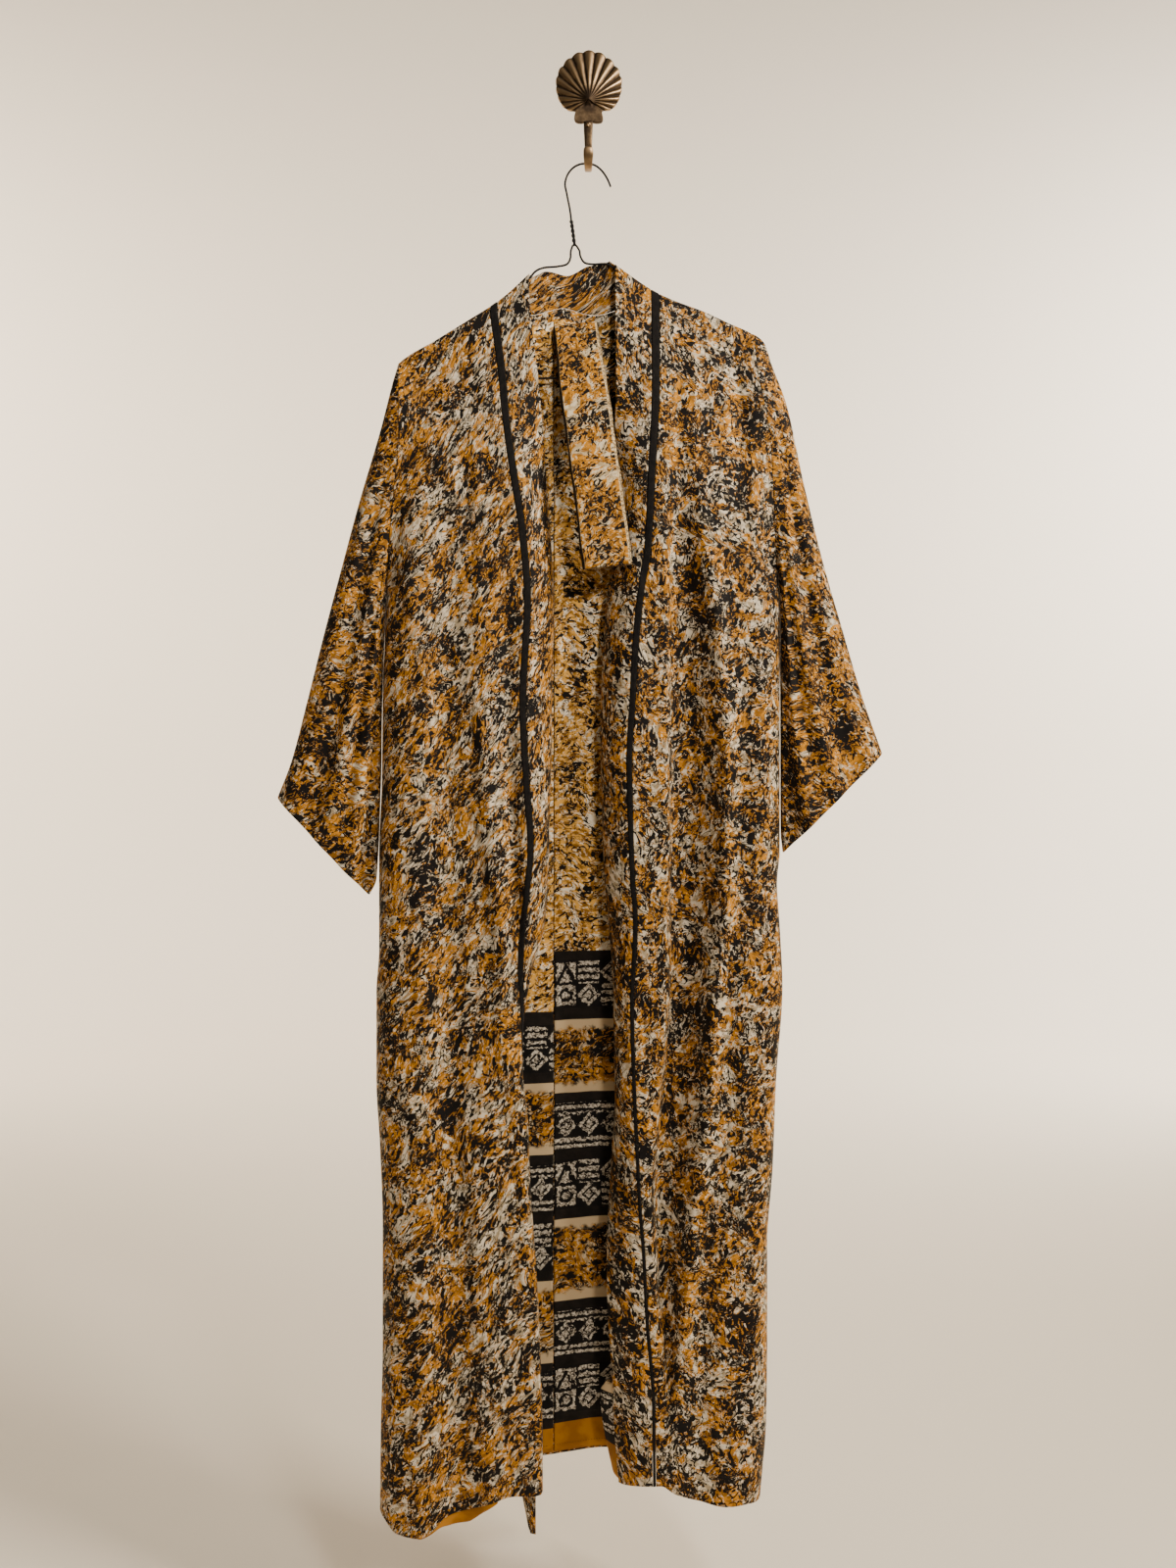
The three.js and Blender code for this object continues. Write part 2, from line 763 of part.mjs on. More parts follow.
// Collar at the back neck: from the neck seam up to a free edge, in the same columns as the back.
const NECK = ["across", "edgeX", "edgeDrop"];
const NECK_ROWS = [
  [0, -66, 0],
  [0.12, -62, 5],
  [0.3, -50, 15],
  [0.5, -22, 46],
  [0.7, 2, 24],
  [0.88, 18, 6],
  [1, 24, 0],
];
const NECK_END_GAP = 0.35;
const COLLAR_ROWS = 4;
const edgeX = curve(NECK, NECK_ROWS, "across", "edgeX");
const edgeDrop = curve(NECK, NECK_ROWS, "across", "edgeDrop");
function collarPoint(u, v) {
  const across = (u - NECK_LEFT_X) / (NECK_RIGHT_X - NECK_LEFT_X);
  const drop = neckDropAt(u);
  const seamDrop = drop - seamHalfGap(drop);
  const seamX = u + NECK_END_GAP * (1 - 2 * across);
  const x = lerp(edgeX(across), seamX, v);
  const z = shoulder(x) - lerp(edgeDrop(across), seamDrop, v);
  return new THREE.Vector3(x, backY(x, z) + GAP / 2, z);
}
add("collar_back", wall(collarPoint, neckX, even(COLLAR_ROWS), BAND_CLOTH), PRINT_DEEP);

// Back lining, in two halves that meet at a centre seam, laid on the inside of the back.
const liningRows = [...rowsBack.slice(4, -1), 0.998];
const seamGap = 0.0004;
const liningLeft = [
  ...columnsBack.filter((u) => u > 0.02 && u < LINING_SEAM_SHARE - 0.01),
  LINING_SEAM_SHARE - seamGap,
];
const liningRight = [
  LINING_SEAM_SHARE + seamGap,
  ...columnsBack.filter((u) => u > LINING_SEAM_SHARE + 0.01 && u < 0.985),
];
for (const [name, columns] of [
  ["back_lining_left", liningLeft],
  ["back_lining_right", liningRight],
]) {
  const lining = wall(backBody, columns, liningRows, LINING_CLOTH, CLOTH + GAP);
  add(name, lining, LINING);
}

// Lining of the left front where it shows below the hem.
const LOWER = ["column", "share"];
const lowerBy = curve(LOWER, [
  [0.24, 0.001],
  [0.33, 0.003],
  [0.42, 0.0095],
  [0.51, 0.0105],
  [0.6, 0.006],
  [0.69, 0.002],
], "column", "share");
function hemLiningPoint(u, v) {
  const share = v <= 1 ? v : 1 + (v - 1) * lowerBy(u);
  return frontPoint(OPEN_LEFT, hemFrontLeft, u / TURN_COLUMN, null, share);
}
add(
  "lining_left_hem",
  frontWall(OPEN_LEFT, hemLiningPoint, [0.24, 0.33, 0.42, 0.51, 0.6, 0.69], [0.93, 1, 2],
    LINING_CLOTH, CLOTH + GAP),
  GOLD,
);

// Lining of the right front where it shows past the band's free edge at the hem.
add(
  "lining_right_edge",
  openingStrip(
    OPEN_RIGHT,
    hemFrontRight,
    bandFrom(OPEN_RIGHT),
    bandTo(OPEN_RIGHT),
    [4 / 6, 5 / 6, 1, 1.16],
    [0.86, 0.93, 0.998],
    LINING_CLOTH,
    BAND_CLOTH + GAP,
  ),
  GOLD,
);

// Sleeves: tubes that hang from the armhole. Each section runs from the top fold to the under fold.
const SLEEVE = ["along", "topX", "topZ", "underX", "underZ"];
const SLEEVE_LEFT_ROWS = [
  [0, -210.5, -328, -223.6, -578],
  [0.03, -212.6, -335, -227.6, -585],
  [0.08, -216, -346, -229.8, -606],
  [0.2, -231, -404, -232.2, -662],
  [0.35, -254, -482, -233.7, -722],
  [0.5, -275, -560, -234.3, -778],
  [0.65, -294, -632, -235.6, -824],
  [0.8, -312, -704, -237.3, -868],
  [0.92, -330, -772, -239, -902],
  [1, -345, -811, -244, -919],
];
const SLEEVE_RIGHT_ROWS = [
  [0, 184.5, -296, 209, -550],
  [0.03, 191, -300.5, 214, -557],
  [0.06, 196, -306, 216.5, -574],
  [0.14, 205, -332, 217.5, -616],
  [0.25, 220, -372, 218, -662],
  [0.4, 240, -463, 218, -720],
  [0.55, 260, -545, 218, -770],
  [0.7, 282, -622, 218, -812],
  [0.85, 305, -700, 218.5, -848],
  [1, 327, -762, 219, -872],
];
const SLEEVE_WAVES = [
  { height: 2.6, turns: 11, from: 1 },
  { height: 1.6, turns: 19, from: 0 },
];
const FADE_POWER = 4;
function sleevePoint(half, rows) {
  const read = (name) => curve(SLEEVE, rows, "along", name);
  const topX = read("topX");
  const topZ = read("topZ");
  const underX = read("underX");
  const underZ = read("underZ");
  return (u, v) => {
    const angle = u * 2 * Math.PI;
    const down = (1 - Math.cos(angle)) / 2;
    const end = Math.pow(Math.abs(Math.cos(angle)), ARMHOLE_POWER);
    const round = Math.pow(Math.max(0, 1 - end), 1 / ARMHOLE_POWER);
    const depth = lerp(ARMHOLE_HALF, CUFF_HALF, smooth(v));
    const z0 = lerp(half.tipZ, half.underZ, down);
    const rise = half.tipZ - topZ(0);
    const dip = half.underZ - underZ(0);
    const fade = Math.pow(1 - v, FADE_POWER);
    const z = lerp(topZ(v) + rise * fade, underZ(v) + dip * fade, down);
    const straight = lerp(topX(0), underX(0), down);
    const bow = half.side(z0) + half.sign * GAP - straight;
    const x = lerp(topX(v), underX(v), down) + bow * fade;
    const wave = SLEEVE_WAVES.reduce((all, w) => all + w.height * Math.sin(down * w.turns + w.from), 0);
    const y = HANG_Y - Math.sign(Math.sin(angle)) * (depth + wave * v) * round;
    return new THREE.Vector3(x, y, z);
  };
}
const alongSleeve = [0, 0.03, 0.08, 0.18, 0.3, 0.44, 0.58, 0.72, 0.86, 1];
// Stations round a sleeve: the rows of the body's armhole edge, down the front and up the back.
function roundSleeve(half) {
  const down = armholeShares.map((share) => {
    const z = edgeHeight(half.side, hemBack, share);
    return clamp((half.tipZ - z) / (half.tipZ - half.underZ), 0, 1);
  });
  const front = down.map((d) => Math.acos(1 - 2 * d) / (2 * Math.PI));
  return [...front, ...front.slice(1, -1).map((u) => 1 - u).reverse()];
}
const tube = (point) => (u, v) => point(((u % 1) + 1) % 1, v);
for (const [name, half, rows] of [
  ["sleeve_left", LEFT, SLEEVE_LEFT_ROWS],
  ["sleeve_right", RIGHT, SLEEVE_RIGHT_ROWS],
]) {
  const point = tube(sleevePoint(half, rows));
  const stations = roundSleeve(half);
  const turned = half === LEFT ? flip(point) : point;
  const us = half === LEFT ? mirrored(stations) : stations;
  add(name, wall(turned, us, alongSleeve, CLOTH, 0, true), PRINT);
}

// Direction of a line given by three curves, at a share of its length.
const RUN_STEP = 0.01;
function tangentOf(x, y, z, t) {
  const lo = t - RUN_STEP;
  const hi = t + RUN_STEP;
  return new THREE.Vector3(x(hi) - x(lo), y(hi) - y(lo), z(hi) - z(lo)).normalize();
}

// Sash, folded into six layers: one rounded solid whose long edges show the layers.
const SASH = ["along", "x", "y", "z", "half"];
const SASH_ROWS = [
  [0, -14.5, -34.9, -284, 24],
  [0.12, -10.5, -39, -316, 24.5],
  [0.22, -7, -43.5, -342, 25.5],
  [0.36, -2, -51, -380, 26],
  [0.55, 5, -58.5, -432, 26],
  [0.75, 12.5, -63, -487, 26],
  [0.9, 18, -64.5, -530, 26.5],
  [1, 21, -65, -559, 26],
];
// How far each layer's right edge stands out; the left edges stand back by SASH_LEFT_SHARE of that.
const SASH_LAYERS = [-2.2, 0.6, -1, 1.4, -0.6, 0.8];
const SASH_LEFT_SHARE = 0.6;
const SASH_LAYER = 1.3;
const SASH_CREASE = 0.14;
const SASH_END_PULL = 0.72;
const SASH_STATIONS = [0, 0.012, 0.12, 0.22, 0.36, 0.55, 0.75, 0.9, 0.988, 1];
function sashProfile() {
  const profile = [];
  const corners = (side, step, index) => {
    const lo = (index - SASH_LAYERS.length / 2) * SASH_LAYER;
    return [
      { side, step, deep: lo + SASH_CREASE },
      { side, step, deep: lo + SASH_LAYER - SASH_CREASE },
    ];
  };
  SASH_LAYERS.forEach((step, i) => profile.push(...corners(1, step, i)));
  for (let i = SASH_LAYERS.length - 1; i >= 0; i--) {
    profile.push(...corners(-1, -SASH_LAYERS[i] * SASH_LEFT_SHARE, i).reverse());
  }
  return profile;
}
function sashRings() {
  const read = (name) => curve(SASH, SASH_ROWS, "along", name);
  const [x, y, z, half] = ["x", "y", "z", "half"].map(read);
  const profile = sashProfile();
  return SASH_STATIONS.map((t) => {
    const pull = t === 0 || t === 1 ? SASH_END_PULL : 1;
    const run = tangentOf(x, y, z, t);
    const wide = new THREE.Vector3(0, 1, 0).cross(run).normalize();
    if (wide.x < 0) wide.negate();
    const thick = wide.clone().cross(run).normalize();
    if (thick.y < 0) thick.negate();
    const middle = new THREE.Vector3(x(t), y(t), z(t));
    return profile.map(({ side, step, deep }) =>
      middle
        .clone()
        .addScaledVector(wide, side * half(t) + step * pull)
        .addScaledVector(thick, deep * pull),
    );
  });
}
add("sash", loft(sashRings()), PRINT_DEEP);

// Wire hanger
const WIRE_SIDES = 6;
const WIRE_METAL = 0.4;
const wireUnder = (x, below) => [x, HANG_Y, shoulder(x) - below];
add(
  "hanger_hook",
  rod(
    [
      [25, HANG_Y, -131],
      [21, HANG_Y, -122],
      [15, HANG_Y, -113.5],
      [8, HANG_Y, -108],
      [0, HANG_Y, -106],
      [-8, HANG_Y, -106.5],
      [-15, HANG_Y, -109.5],
      [-22, HANG_Y, -117],
      [-25.5, HANG_Y, -128],
      [-23.5, HANG_Y, -140],
      [-20, HANG_Y, -158],
      [-18.5, HANG_Y, -170],
    ],
    WIRE_RADIUS,
    WIRE_SIDES,
    22,
  ),
  BLACK,
  WIRE_METAL,
);
// The twist: an oval section that turns as it goes down.
const TWIST_TURNS = 2.5;
const TWIST_HALF = [2.25, 1.2];
const TWIST_RINGS = 18;
const TWIST_SIDES = 8;
function twistRings() {
  const rings = [];
  const from = new THREE.Vector3(-18.5, HANG_Y, -170.3);
  const to = new THREE.Vector3(-15, HANG_Y, -197);
  const up = new THREE.Vector3(0, 0, 1);
  for (let j = 0; j <= TWIST_RINGS; j++) {
    const t = j / TWIST_RINGS;
    const middle = from.clone().lerp(to, t);
    const ring = [];
    for (let i = 0; i < TWIST_SIDES; i++) {
      const angle = (i / TWIST_SIDES) * 2 * Math.PI;
      const offset = new THREE.Vector3(
        TWIST_HALF[0] * Math.cos(angle),
        TWIST_HALF[1] * Math.sin(angle),
        0,
      );
      ring.push(offset.applyAxisAngle(up, t * TWIST_TURNS * 2 * Math.PI).add(middle));
    }
    rings.push(ring);
  }
  return rings;
}
add("hanger_twist", loft(twistRings()), BLACK, WIRE_METAL);
add(
  "hanger_shoulder_left",
  rod(
    [
      [-17.3, HANG_Y, -197.5],
      [-19.2, HANG_Y, -204],
      [-19.6, HANG_Y, -211],
      [-23, HANG_Y, -217.5],
      [-33, HANG_Y, -220.3],
      [-50, HANG_Y, -222],
      [-58, HANG_Y, -225.5],
      [-63.2, HANG_Y, -231],
      wireUnder(-70, 5.8),
      wireUnder(-90, 5.8),
      wireUnder(-107, 5.4),
      wireUnder(-131, 4.4),
      wireUnder(-160, 4.4),
      wireUnder(-190, 4.4),
      wireUnder(-201, 5),
      [-206.4, HANG_Y, -334],
      [-207.8, HANG_Y, -343],
      [-205.6, HANG_Y, -349.4],
      [-202.6, HANG_Y, -351.2],
    ],
    WIRE_RADIUS,
    WIRE_SIDES,
    32,
  ),
  BLACK,
  WIRE_METAL,
);
add(
  "hanger_shoulder_right",
  rod(
    [
      [-12.7, HANG_Y, -197.5],
      [-9.5, HANG_Y, -203],
      [-8.5, HANG_Y, -209],
      [-4, HANG_Y, -216],
      [6, HANG_Y, -218],
      [16, HANG_Y, -217.4],
      [23, HANG_Y, -218.2],
      wireUnder(30, 5.8),
      wireUnder(50, 5.4),
      wireUnder(75, 5.2),
      wireUnder(97, 4.4),
      wireUnder(129, 4.4),
      wireUnder(157, 4.4),
      wireUnder(176, 4.6),
      [187, HANG_Y, -304.5],
      [192, HANG_Y, -312],
      [193, HANG_Y, -324],
      [191, HANG_Y, -331.6],
      [187.4, HANG_Y, -334.1],
    ],
    WIRE_RADIUS,
    WIRE_SIDES,
    30,
  ),
  BLACK,
  WIRE_METAL,
);
add(
  "hanger_bar",
  rod(
    [
      [-201.6, HANG_Y, -351.3],
      [-55, HANG_Y, -345],
      [21, HANG_Y, -341.5],
      [186.5, HANG_Y, -334.2],
    ],
    WIRE_RADIUS,
    WIRE_SIDES,
    6,
  ),
  BLACK,
  WIRE_METAL,
);

// Wall hook: a fluted shell plate with a lug, an arm bent up at its end, and a screw head.
const SHELL_FOCUS = [1, -19];
const SHELL_EDGE = ["angle", "radius"];
const shellRadius = curve(SHELL_EDGE, [
  [-145, 18.5],
  [-123, 27.5],
  [-90, 23],
  [-57, 27.5],
  [-35, 18.5],
  [-18, 27],
  [16, 38.5],
  [50, 51],
  [90, 59],
  [130, 51],
  [164, 38.5],
  [198, 27],
  [215, 18.5],
], "angle", "radius");
const FLUTES = 17;
const FLUTE_FROM = -30;
const FLUTE_TO = 210;
const LUG_ANGLES = [217, 228, 237, 253, 270, 287, 303, 312, 323];
const SHELL_RINGS = [0.12, 0.3, 0.55, 0.8, 0.95, 1];
const VALLEY_RIM = 0.965;
const RIB_HALF = 0.9;
const DOME = 5.6;
const LUG_THICK = 3.4;
const RIM_THICK = 1.2;
const BOSS = 2.2;
const BOSS_TOP_Y = -8.6;
const BRASS_METAL = 0.8;
function shellPlate() {
  const angles = [];
  for (let i = 0; i <= 2 * FLUTES; i++) {
    angles.push([lerp(FLUTE_FROM, FLUTE_TO, i / (2 * FLUTES)), i % 2]);
  }
  for (const a of LUG_ANGLES) angles.push([a, 0]);
  const points = [];
  const faces = [];
  for (const r of SHELL_RINGS) {
    for (const [a, crest] of angles) {
      const fan = a <= FLUTE_TO;
      const turned = a > LUG_ANGLES[0] - 2 ? a - 360 : a;
      const radius = shellRadius(turned) * r * (fan && r > 0.9 && !crest ? VALLEY_RIM : 1);
      const rib = fan ? (crest ? RIB_HALF : -RIB_HALF) * smooth(r * 1.6) : 0;
      const dome = fan ? DOME * (1 - 0.5 * r * r) : LUG_THICK;
      const y = r === 1 ? -RIM_THICK : -(dome + rib + (r < 0.2 ? BOSS : 0));
      const rad = (a * Math.PI) / 180;
      points.push(
        new THREE.Vector3(
          SHELL_FOCUS[0] + radius * Math.cos(rad),
          y,
          SHELL_FOCUS[1] + radius * Math.sin(rad),
        ),
      );
    }
  }
  const n = angles.length;
  for (let j = 0; j < SHELL_RINGS.length - 1; j++) {
    for (let i = 0; i < n; i++) {
      const a = j * n + i;
      const b = j * n + ((i + 1) % n);
      faces.push(a, b, b + n, a, b + n, a + n);
    }
  }
  const rim = (SHELL_RINGS.length - 1) * n;
  const rear = points.length;
  for (let i = 0; i < n; i++) {
    points.push(new THREE.Vector3(points[rim + i].x, 0, points[rim + i].z));
  }
  for (let i = 0; i < n; i++) {
    const k = (i + 1) % n;
    faces.push(rim + i, rim + k, rear + k, rim + i, rear + k, rear + i);
  }
  points.push(new THREE.Vector3(SHELL_FOCUS[0], BOSS_TOP_Y, SHELL_FOCUS[1]));
  const front = points.length - 1;
  points.push(new THREE.Vector3(SHELL_FOCUS[0], 0, SHELL_FOCUS[1]));
  const behind = points.length - 1;
  for (let i = 0; i < n; i++) {
    const k = (i + 1) % n;
    faces.push(k, i, front);
    faces.push(rear + i, rear + k, behind);
  }
  return meshOf(points, faces);
}
add("wall_hook_plate", shellPlate(), BRASS, BRASS_METAL);

const ARM = ["along", "y", "z", "wide"];
const ARM_ROWS = [
  [0, -3.6, -42.8, 10.6],
  [0.1, -3.8, -50, 10.2],
  [0.25, -4.6, -65, 9],
  [0.4, -8.5, -84, 7.6],
  [0.52, -17.5, -99.5, 8],
  [0.64, -28, -108.3, 8.4],
  [0.76, -38, -110.2, 8.8],
  [0.86, -46.5, -107.4, 9.6],
  [0.94, -51, -101, 11],
  [1, -52.6, -93.5, 9.6],
];
const ARM_X = 0.3;
const ARM_THICK = 5;
const ARM_STATIONS = 16;
const ARM_SIDES = 12;
const ARM_CORNER = 0.6;
const rounded = (v) => Math.sign(v) * Math.pow(Math.abs(v), ARM_CORNER);
function armRings() {
  const read = (name) => curve(ARM, ARM_ROWS, "along", name);
  const [y, z, wide] = ["y", "z", "wide"].map(read);
  const rings = [];
  for (let j = 0; j <= ARM_STATIONS; j++) {
    const t = j / ARM_STATIONS;
    const run = tangentOf(() => ARM_X, y, z, t);
    const out = new THREE.Vector3(0, run.z, -run.y);
    const middle = new THREE.Vector3(ARM_X, y(t), z(t));
    const ring = [];
    for (let i = 0; i < ARM_SIDES; i++) {
      const angle = ((i + 0.5) / ARM_SIDES) * 2 * Math.PI;
      const aside = (wide(t) / 2) * rounded(Math.cos(angle));
      const deep = (ARM_THICK / 2) * rounded(Math.sin(angle));
      ring.push(middle.clone().add(new THREE.Vector3(aside, 0, 0)).addScaledVector(out, deep));
    }
    rings.push(ring);
  }
  return rings;
}
add("wall_hook_arm", loft(armRings()), BRASS, BRASS_METAL);

// Screw head over the arm's top: rings of y and radius.
const SCREW = ["y", "radius"];
const SCREW_ROWS = [
  [-6.6, 2.9],
  [-7.4, 2.8],
  [-8.2, 2.1],
  [-8.6, 1],
];
const SCREW_Z = -47;
const SCREW_SIDES = 12;
function screwHead() {
  const rings = SCREW_ROWS.map((row) => {
    const y = row[SCREW.indexOf("y")];
    const radius = row[SCREW.indexOf("radius")];
    const ring = [];
    for (let i = 0; i < SCREW_SIDES; i++) {
      const angle = (i / SCREW_SIDES) * 2 * Math.PI;
      ring.push(
        new THREE.Vector3(ARM_X + radius * Math.cos(angle), y, SCREW_Z + radius * Math.sin(angle)),
      );
    }
    return ring;
  });
  return loft(rings);
}
add("wall_hook_screw", screwHead(), BRASS, BRASS_METAL);

export default kimono;
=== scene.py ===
"""A long lined kimono robe of printed silk on a bent wire hanger, hung from a brass shell hook.

Tables and shape functions are in millimetres, and meshes are written in metres. Z is up, the wall
is the plane y = 0 and the robe hangs in front of it, towards -Y. The origin is the middle of the
hook plate's flat back. Every cloth piece is a thin shell on the form of its solid, at a finer step, with
its creases laid on.
"""

import math
from types import SimpleNamespace

import bpy
import numpy as np
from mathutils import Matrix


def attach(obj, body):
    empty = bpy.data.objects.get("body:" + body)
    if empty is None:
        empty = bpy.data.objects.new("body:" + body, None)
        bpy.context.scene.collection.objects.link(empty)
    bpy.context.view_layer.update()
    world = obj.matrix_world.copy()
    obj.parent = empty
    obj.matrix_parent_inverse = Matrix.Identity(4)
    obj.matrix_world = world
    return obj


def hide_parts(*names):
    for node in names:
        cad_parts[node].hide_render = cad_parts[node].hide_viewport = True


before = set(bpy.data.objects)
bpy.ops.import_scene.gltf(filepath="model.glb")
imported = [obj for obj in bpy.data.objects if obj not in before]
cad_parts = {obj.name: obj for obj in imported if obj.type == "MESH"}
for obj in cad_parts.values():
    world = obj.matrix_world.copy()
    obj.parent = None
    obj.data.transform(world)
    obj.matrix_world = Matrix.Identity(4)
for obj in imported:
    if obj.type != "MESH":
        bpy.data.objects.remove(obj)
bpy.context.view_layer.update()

# Driving sizes
CLOTH = 1.6
BAND_CLOTH = 2.2
LINING_CLOTH = 1.3
GAP = 0.3
HANG_Y = -38.0
RIDGE_ROUND = 4.8
WIRE_RADIUS = 1.15
SIDE_ROUND = 26.0
ARMHOLE_HALF = 15.0
ARMHOLE_POWER = 2.4
CUFF_HALF = 17.0
TURN_LIMIT = math.radians(170)
TURN_SPAN = 47.0
UNDERARM_SHARE = 0.197
LINING_SEAM_X = -38.6
LINING_SEAM_SHARE = 0.44
SETTLE = 16
CREASE_GAIN = 1.8
EDGE_CLOSE = 0.35


# Shape helpers
def curve(rows, column=1):
    """Smooth curve through a table's rows, sorted by their first column: a cubic between neighbours
    whose slopes are the harmonic means of the slopes on both sides, so it never overshoots."""
    table = np.array(sorted(rows), float)
    xs = table[:, 0]
    ys = table[:, column]
    gaps = np.diff(xs)
    slopes = np.diff(ys) / gaps
    left, right = slopes[:-1], slopes[1:]
    both = np.where(left + right == 0, 1, left + right)
    inner = np.where(left * right > 0, 2 * left * right / both, 0)
    tangents = np.concatenate([slopes[:1], inner, slopes[-1:]])

    def at(value):
        value = np.clip(value, xs[0], xs[-1])
        i = np.clip(np.searchsorted(xs, value) - 1, 0, len(xs) - 2)
        h = gaps[i]
        s = (value - xs[i]) / h
        rise = s * s * (3 - 2 * s)
        return (
            ys[i] * (1 - rise)
            + ys[i + 1] * rise
            + h * s * (1 - s) * (tangents[i] * (1 - s) - tangents[i + 1] * s)
        )

    return at


def lerp(a, b, t):
    return a + (b - a) * t


def smooth(value):
    """0 below 0, 1 above 1, and the cubic 3s^2 - 2s^3 between."""
    s = np.clip(value, 0, 1)
    return s * s * (3 - 2 * s)


def round_off(q):
    """A quarter circle that rises from 0 at q = 0 to 1 at q = 1."""
    return np.sqrt(np.maximum(0, 1 - (1 - np.minimum(q, 1)) ** 2))


def bell(distance, width):
    return np.exp(-((distance / width) ** 2))


def spread(lo, hi, steps, edge=()):
    """Even stations from lo to hi, with extra ones at the given small distances from both ends."""
    inside = np.linspace(lo, hi, steps + 1)
    extra = [lo + e for e in edge] + [hi - e for e in edge]
    return np.unique(np.round(np.concatenate([inside, extra]), 9))


# Shoulder line of the hung cloth: x, z
shoulder = curve([
    (-213, -331), (-207, -325), (-170, -303), (-131, -279), (-107, -264), (-92, -253), (-64, -227),
    (-20, -182), (22, -212), (38, -224), (59, -239), (75, -249), (97, -259), (129, -271),
    (157, -284), (184, -296), (199, -309),
])

# How far the cloth stands out from the hanger's plane: drop, front, back
FALL_ROWS = [
    (0, 0, 0), (30, 2.5, 1.6), (60, 5.5, 3.4), (110, 10, 6.4), (200, 17, 10.5), (320, 21.5, 14),
    (600, 25, 17), (900, 27, 18.4), (1400, 30, 19.6),
]
fall_front = curve(FALL_ROWS, 1)
fall_back = curve(FALL_ROWS, 2)

# Side seams, from the shoulder tip to the hem: z, x
side_left = curve([
    (-328, -210), (-410, -209), (-470, -214), (-533, -220), (-624, -225), (-700, -228),
    (-791, -229), (-874, -232), (-978, -232), (-1027, -235), (-1124, -235), (-1197, -231),
    (-1286, -228), (-1419, -228), (-1509, -230), (-1597, -231),
])
side_right = curve([
    (-296, 184), (-340, 187), (-359, 191), (-410, 200), (-471, 204), (-533, 207), (-578, 212),
    (-660, 213), (-871, 213), (-905, 210), (-954, 213), (-1020, 216), (-1124, 209), (-1221, 205),
    (-1308, 199), (-1400, 199), (-1496, 198), (-1584, 191),
])

# Hems: x, z
hem_front_left = curve([
    (-231, -1597), (-222, -1601), (-209, -1611), (-185, -1614), (-170, -1608), (-155, -1595),
    (-129, -1586), (-105, -1577), (-82, -1571), (-48, -1570),
])
hem_front_right = curve([
    (30, -1568), (64, -1561), (80, -1560), (95, -1569), (120, -1577), (145, -1581), (171, -1580),
    (191, -1584),
])
hem_back = curve([
    (-231, -1597), (-190, -1588), (-140, -1572), (-90, -1560), (-50, -1553), (-20, -1548),
    (15, -1545), (80, -1552), (140, -1568), (191, -1584),
])


def armhole_half(share):
    """Half of the armhole's width at a share of its height: a superellipse of the given power."""
    inside = np.clip(share, 0, 1)
    end = np.abs(2 * inside - 1) ** ARMHOLE_POWER
    return ARMHOLE_HALF * np.maximum(0, 1 - end) ** (1 / ARMHOLE_POWER)


def edge_height(side, share):
    """Height of the side edge at a share of the way from the shoulder tip to the hem."""
    z = np.full(np.shape(share), -400.0)
    for _ in range(20):
        z = lerp(shoulder(side(z)), hem_back(side(z)), share)
    return z


def body_half(side, sign):
    return SimpleNamespace(
        side=side,
        sign=sign,
        tip_z=float(edge_height(side, 0.0)),
        under_z=float(edge_height(side, UNDERARM_SHARE)),
    )


LEFT = body_half(side_left, -1)
RIGHT = body_half(side_right, 1)


def stand_out(half, fall, x, z):
    """Distance from the hanger's plane: a rounded ridge and then the fall, brought in along a
    quarter circle at the side seam, or to the armhole's half width beside the armhole."""
    drop = np.maximum(0, shoulder(x) - z)
    full = RIDGE_ROUND * round_off(drop / RIDGE_ROUND) + fall(drop)
    reach = np.maximum(0, -half.sign * (x - half.side(z))) / SIDE_ROUND
    hole = armhole_half((half.tip_z - z) / (half.tip_z - half.under_z))
    rise = lerp(round_off(reach), smooth(reach), np.clip(hole / 4, 0, 1))
    return lerp(hole, full, rise)


# Main folds, each a soft ridge (plus) or trough (minus) down the cloth: z, x, width, depth
FOLDS_LEFT = [
    [(-360, -118, 12, 0), (-573, -112, 12, 3), (-805, -110, 12, 5), (-936, -98, 12, 5.5),
     (-1048, -90, 12, 4), (-1200, -84, 14, 0)],
    [(-560, -88, 7, 0), (-760, -86, 7, -4), (-900, -80, 7, -6.5), (-1010, -76, 7, -5),
     (-1120, -72, 8, 0)],
    [(-420, -180, 16, 0), (-640, -186, 17, 3.2), (-900, -190, 18, 4.5), (-1200, -184, 18, 5),
     (-1600, -182, 20, 6)],
    [(-420, -152, 14, 0), (-700, -154, 15, -3), (-1000, -150, 16, -4), (-1300, -144, 17, -5),
     (-1600, -142, 18, -5.5)],
    [(-900, -110, 14, 0), (-1200, -112, 15, 2.5), (-1600, -104, 16, 4)],
]
FOLDS_RIGHT = [
    [(-330, 166, 10, 0), (-420, 170, 12, -3), (-560, 176, 14, -2), (-700, 180, 14, 0)],
    [(-420, 178, 14, 0), (-800, 182, 15, 1.5), (-1100, 172, 16, 2), (-1350, 158, 18, 3),
     (-1584, 150, 20, 3)],
    [(-1180, 120, 16, 0), (-1360, 128, 16, -3), (-1584, 122, 18, -4)],
]
FOLDS_BACK = [
    [(-420, -120, 26, 0), (-800, -126, 28, 2), (-1597, -140, 30, 4)],
    [(-420, -50, 26, 0), (-800, -44, 28, -2), (-1597, -30, 30, -4)],
    [(-420, 40, 26, 0), (-800, 50, 28, 2), (-1597, 60, 30, 3.5)],
    [(-420, 120, 24, 0), (-900, 124, 26, -2.5), (-1597, 126, 26, -3.5)],
]


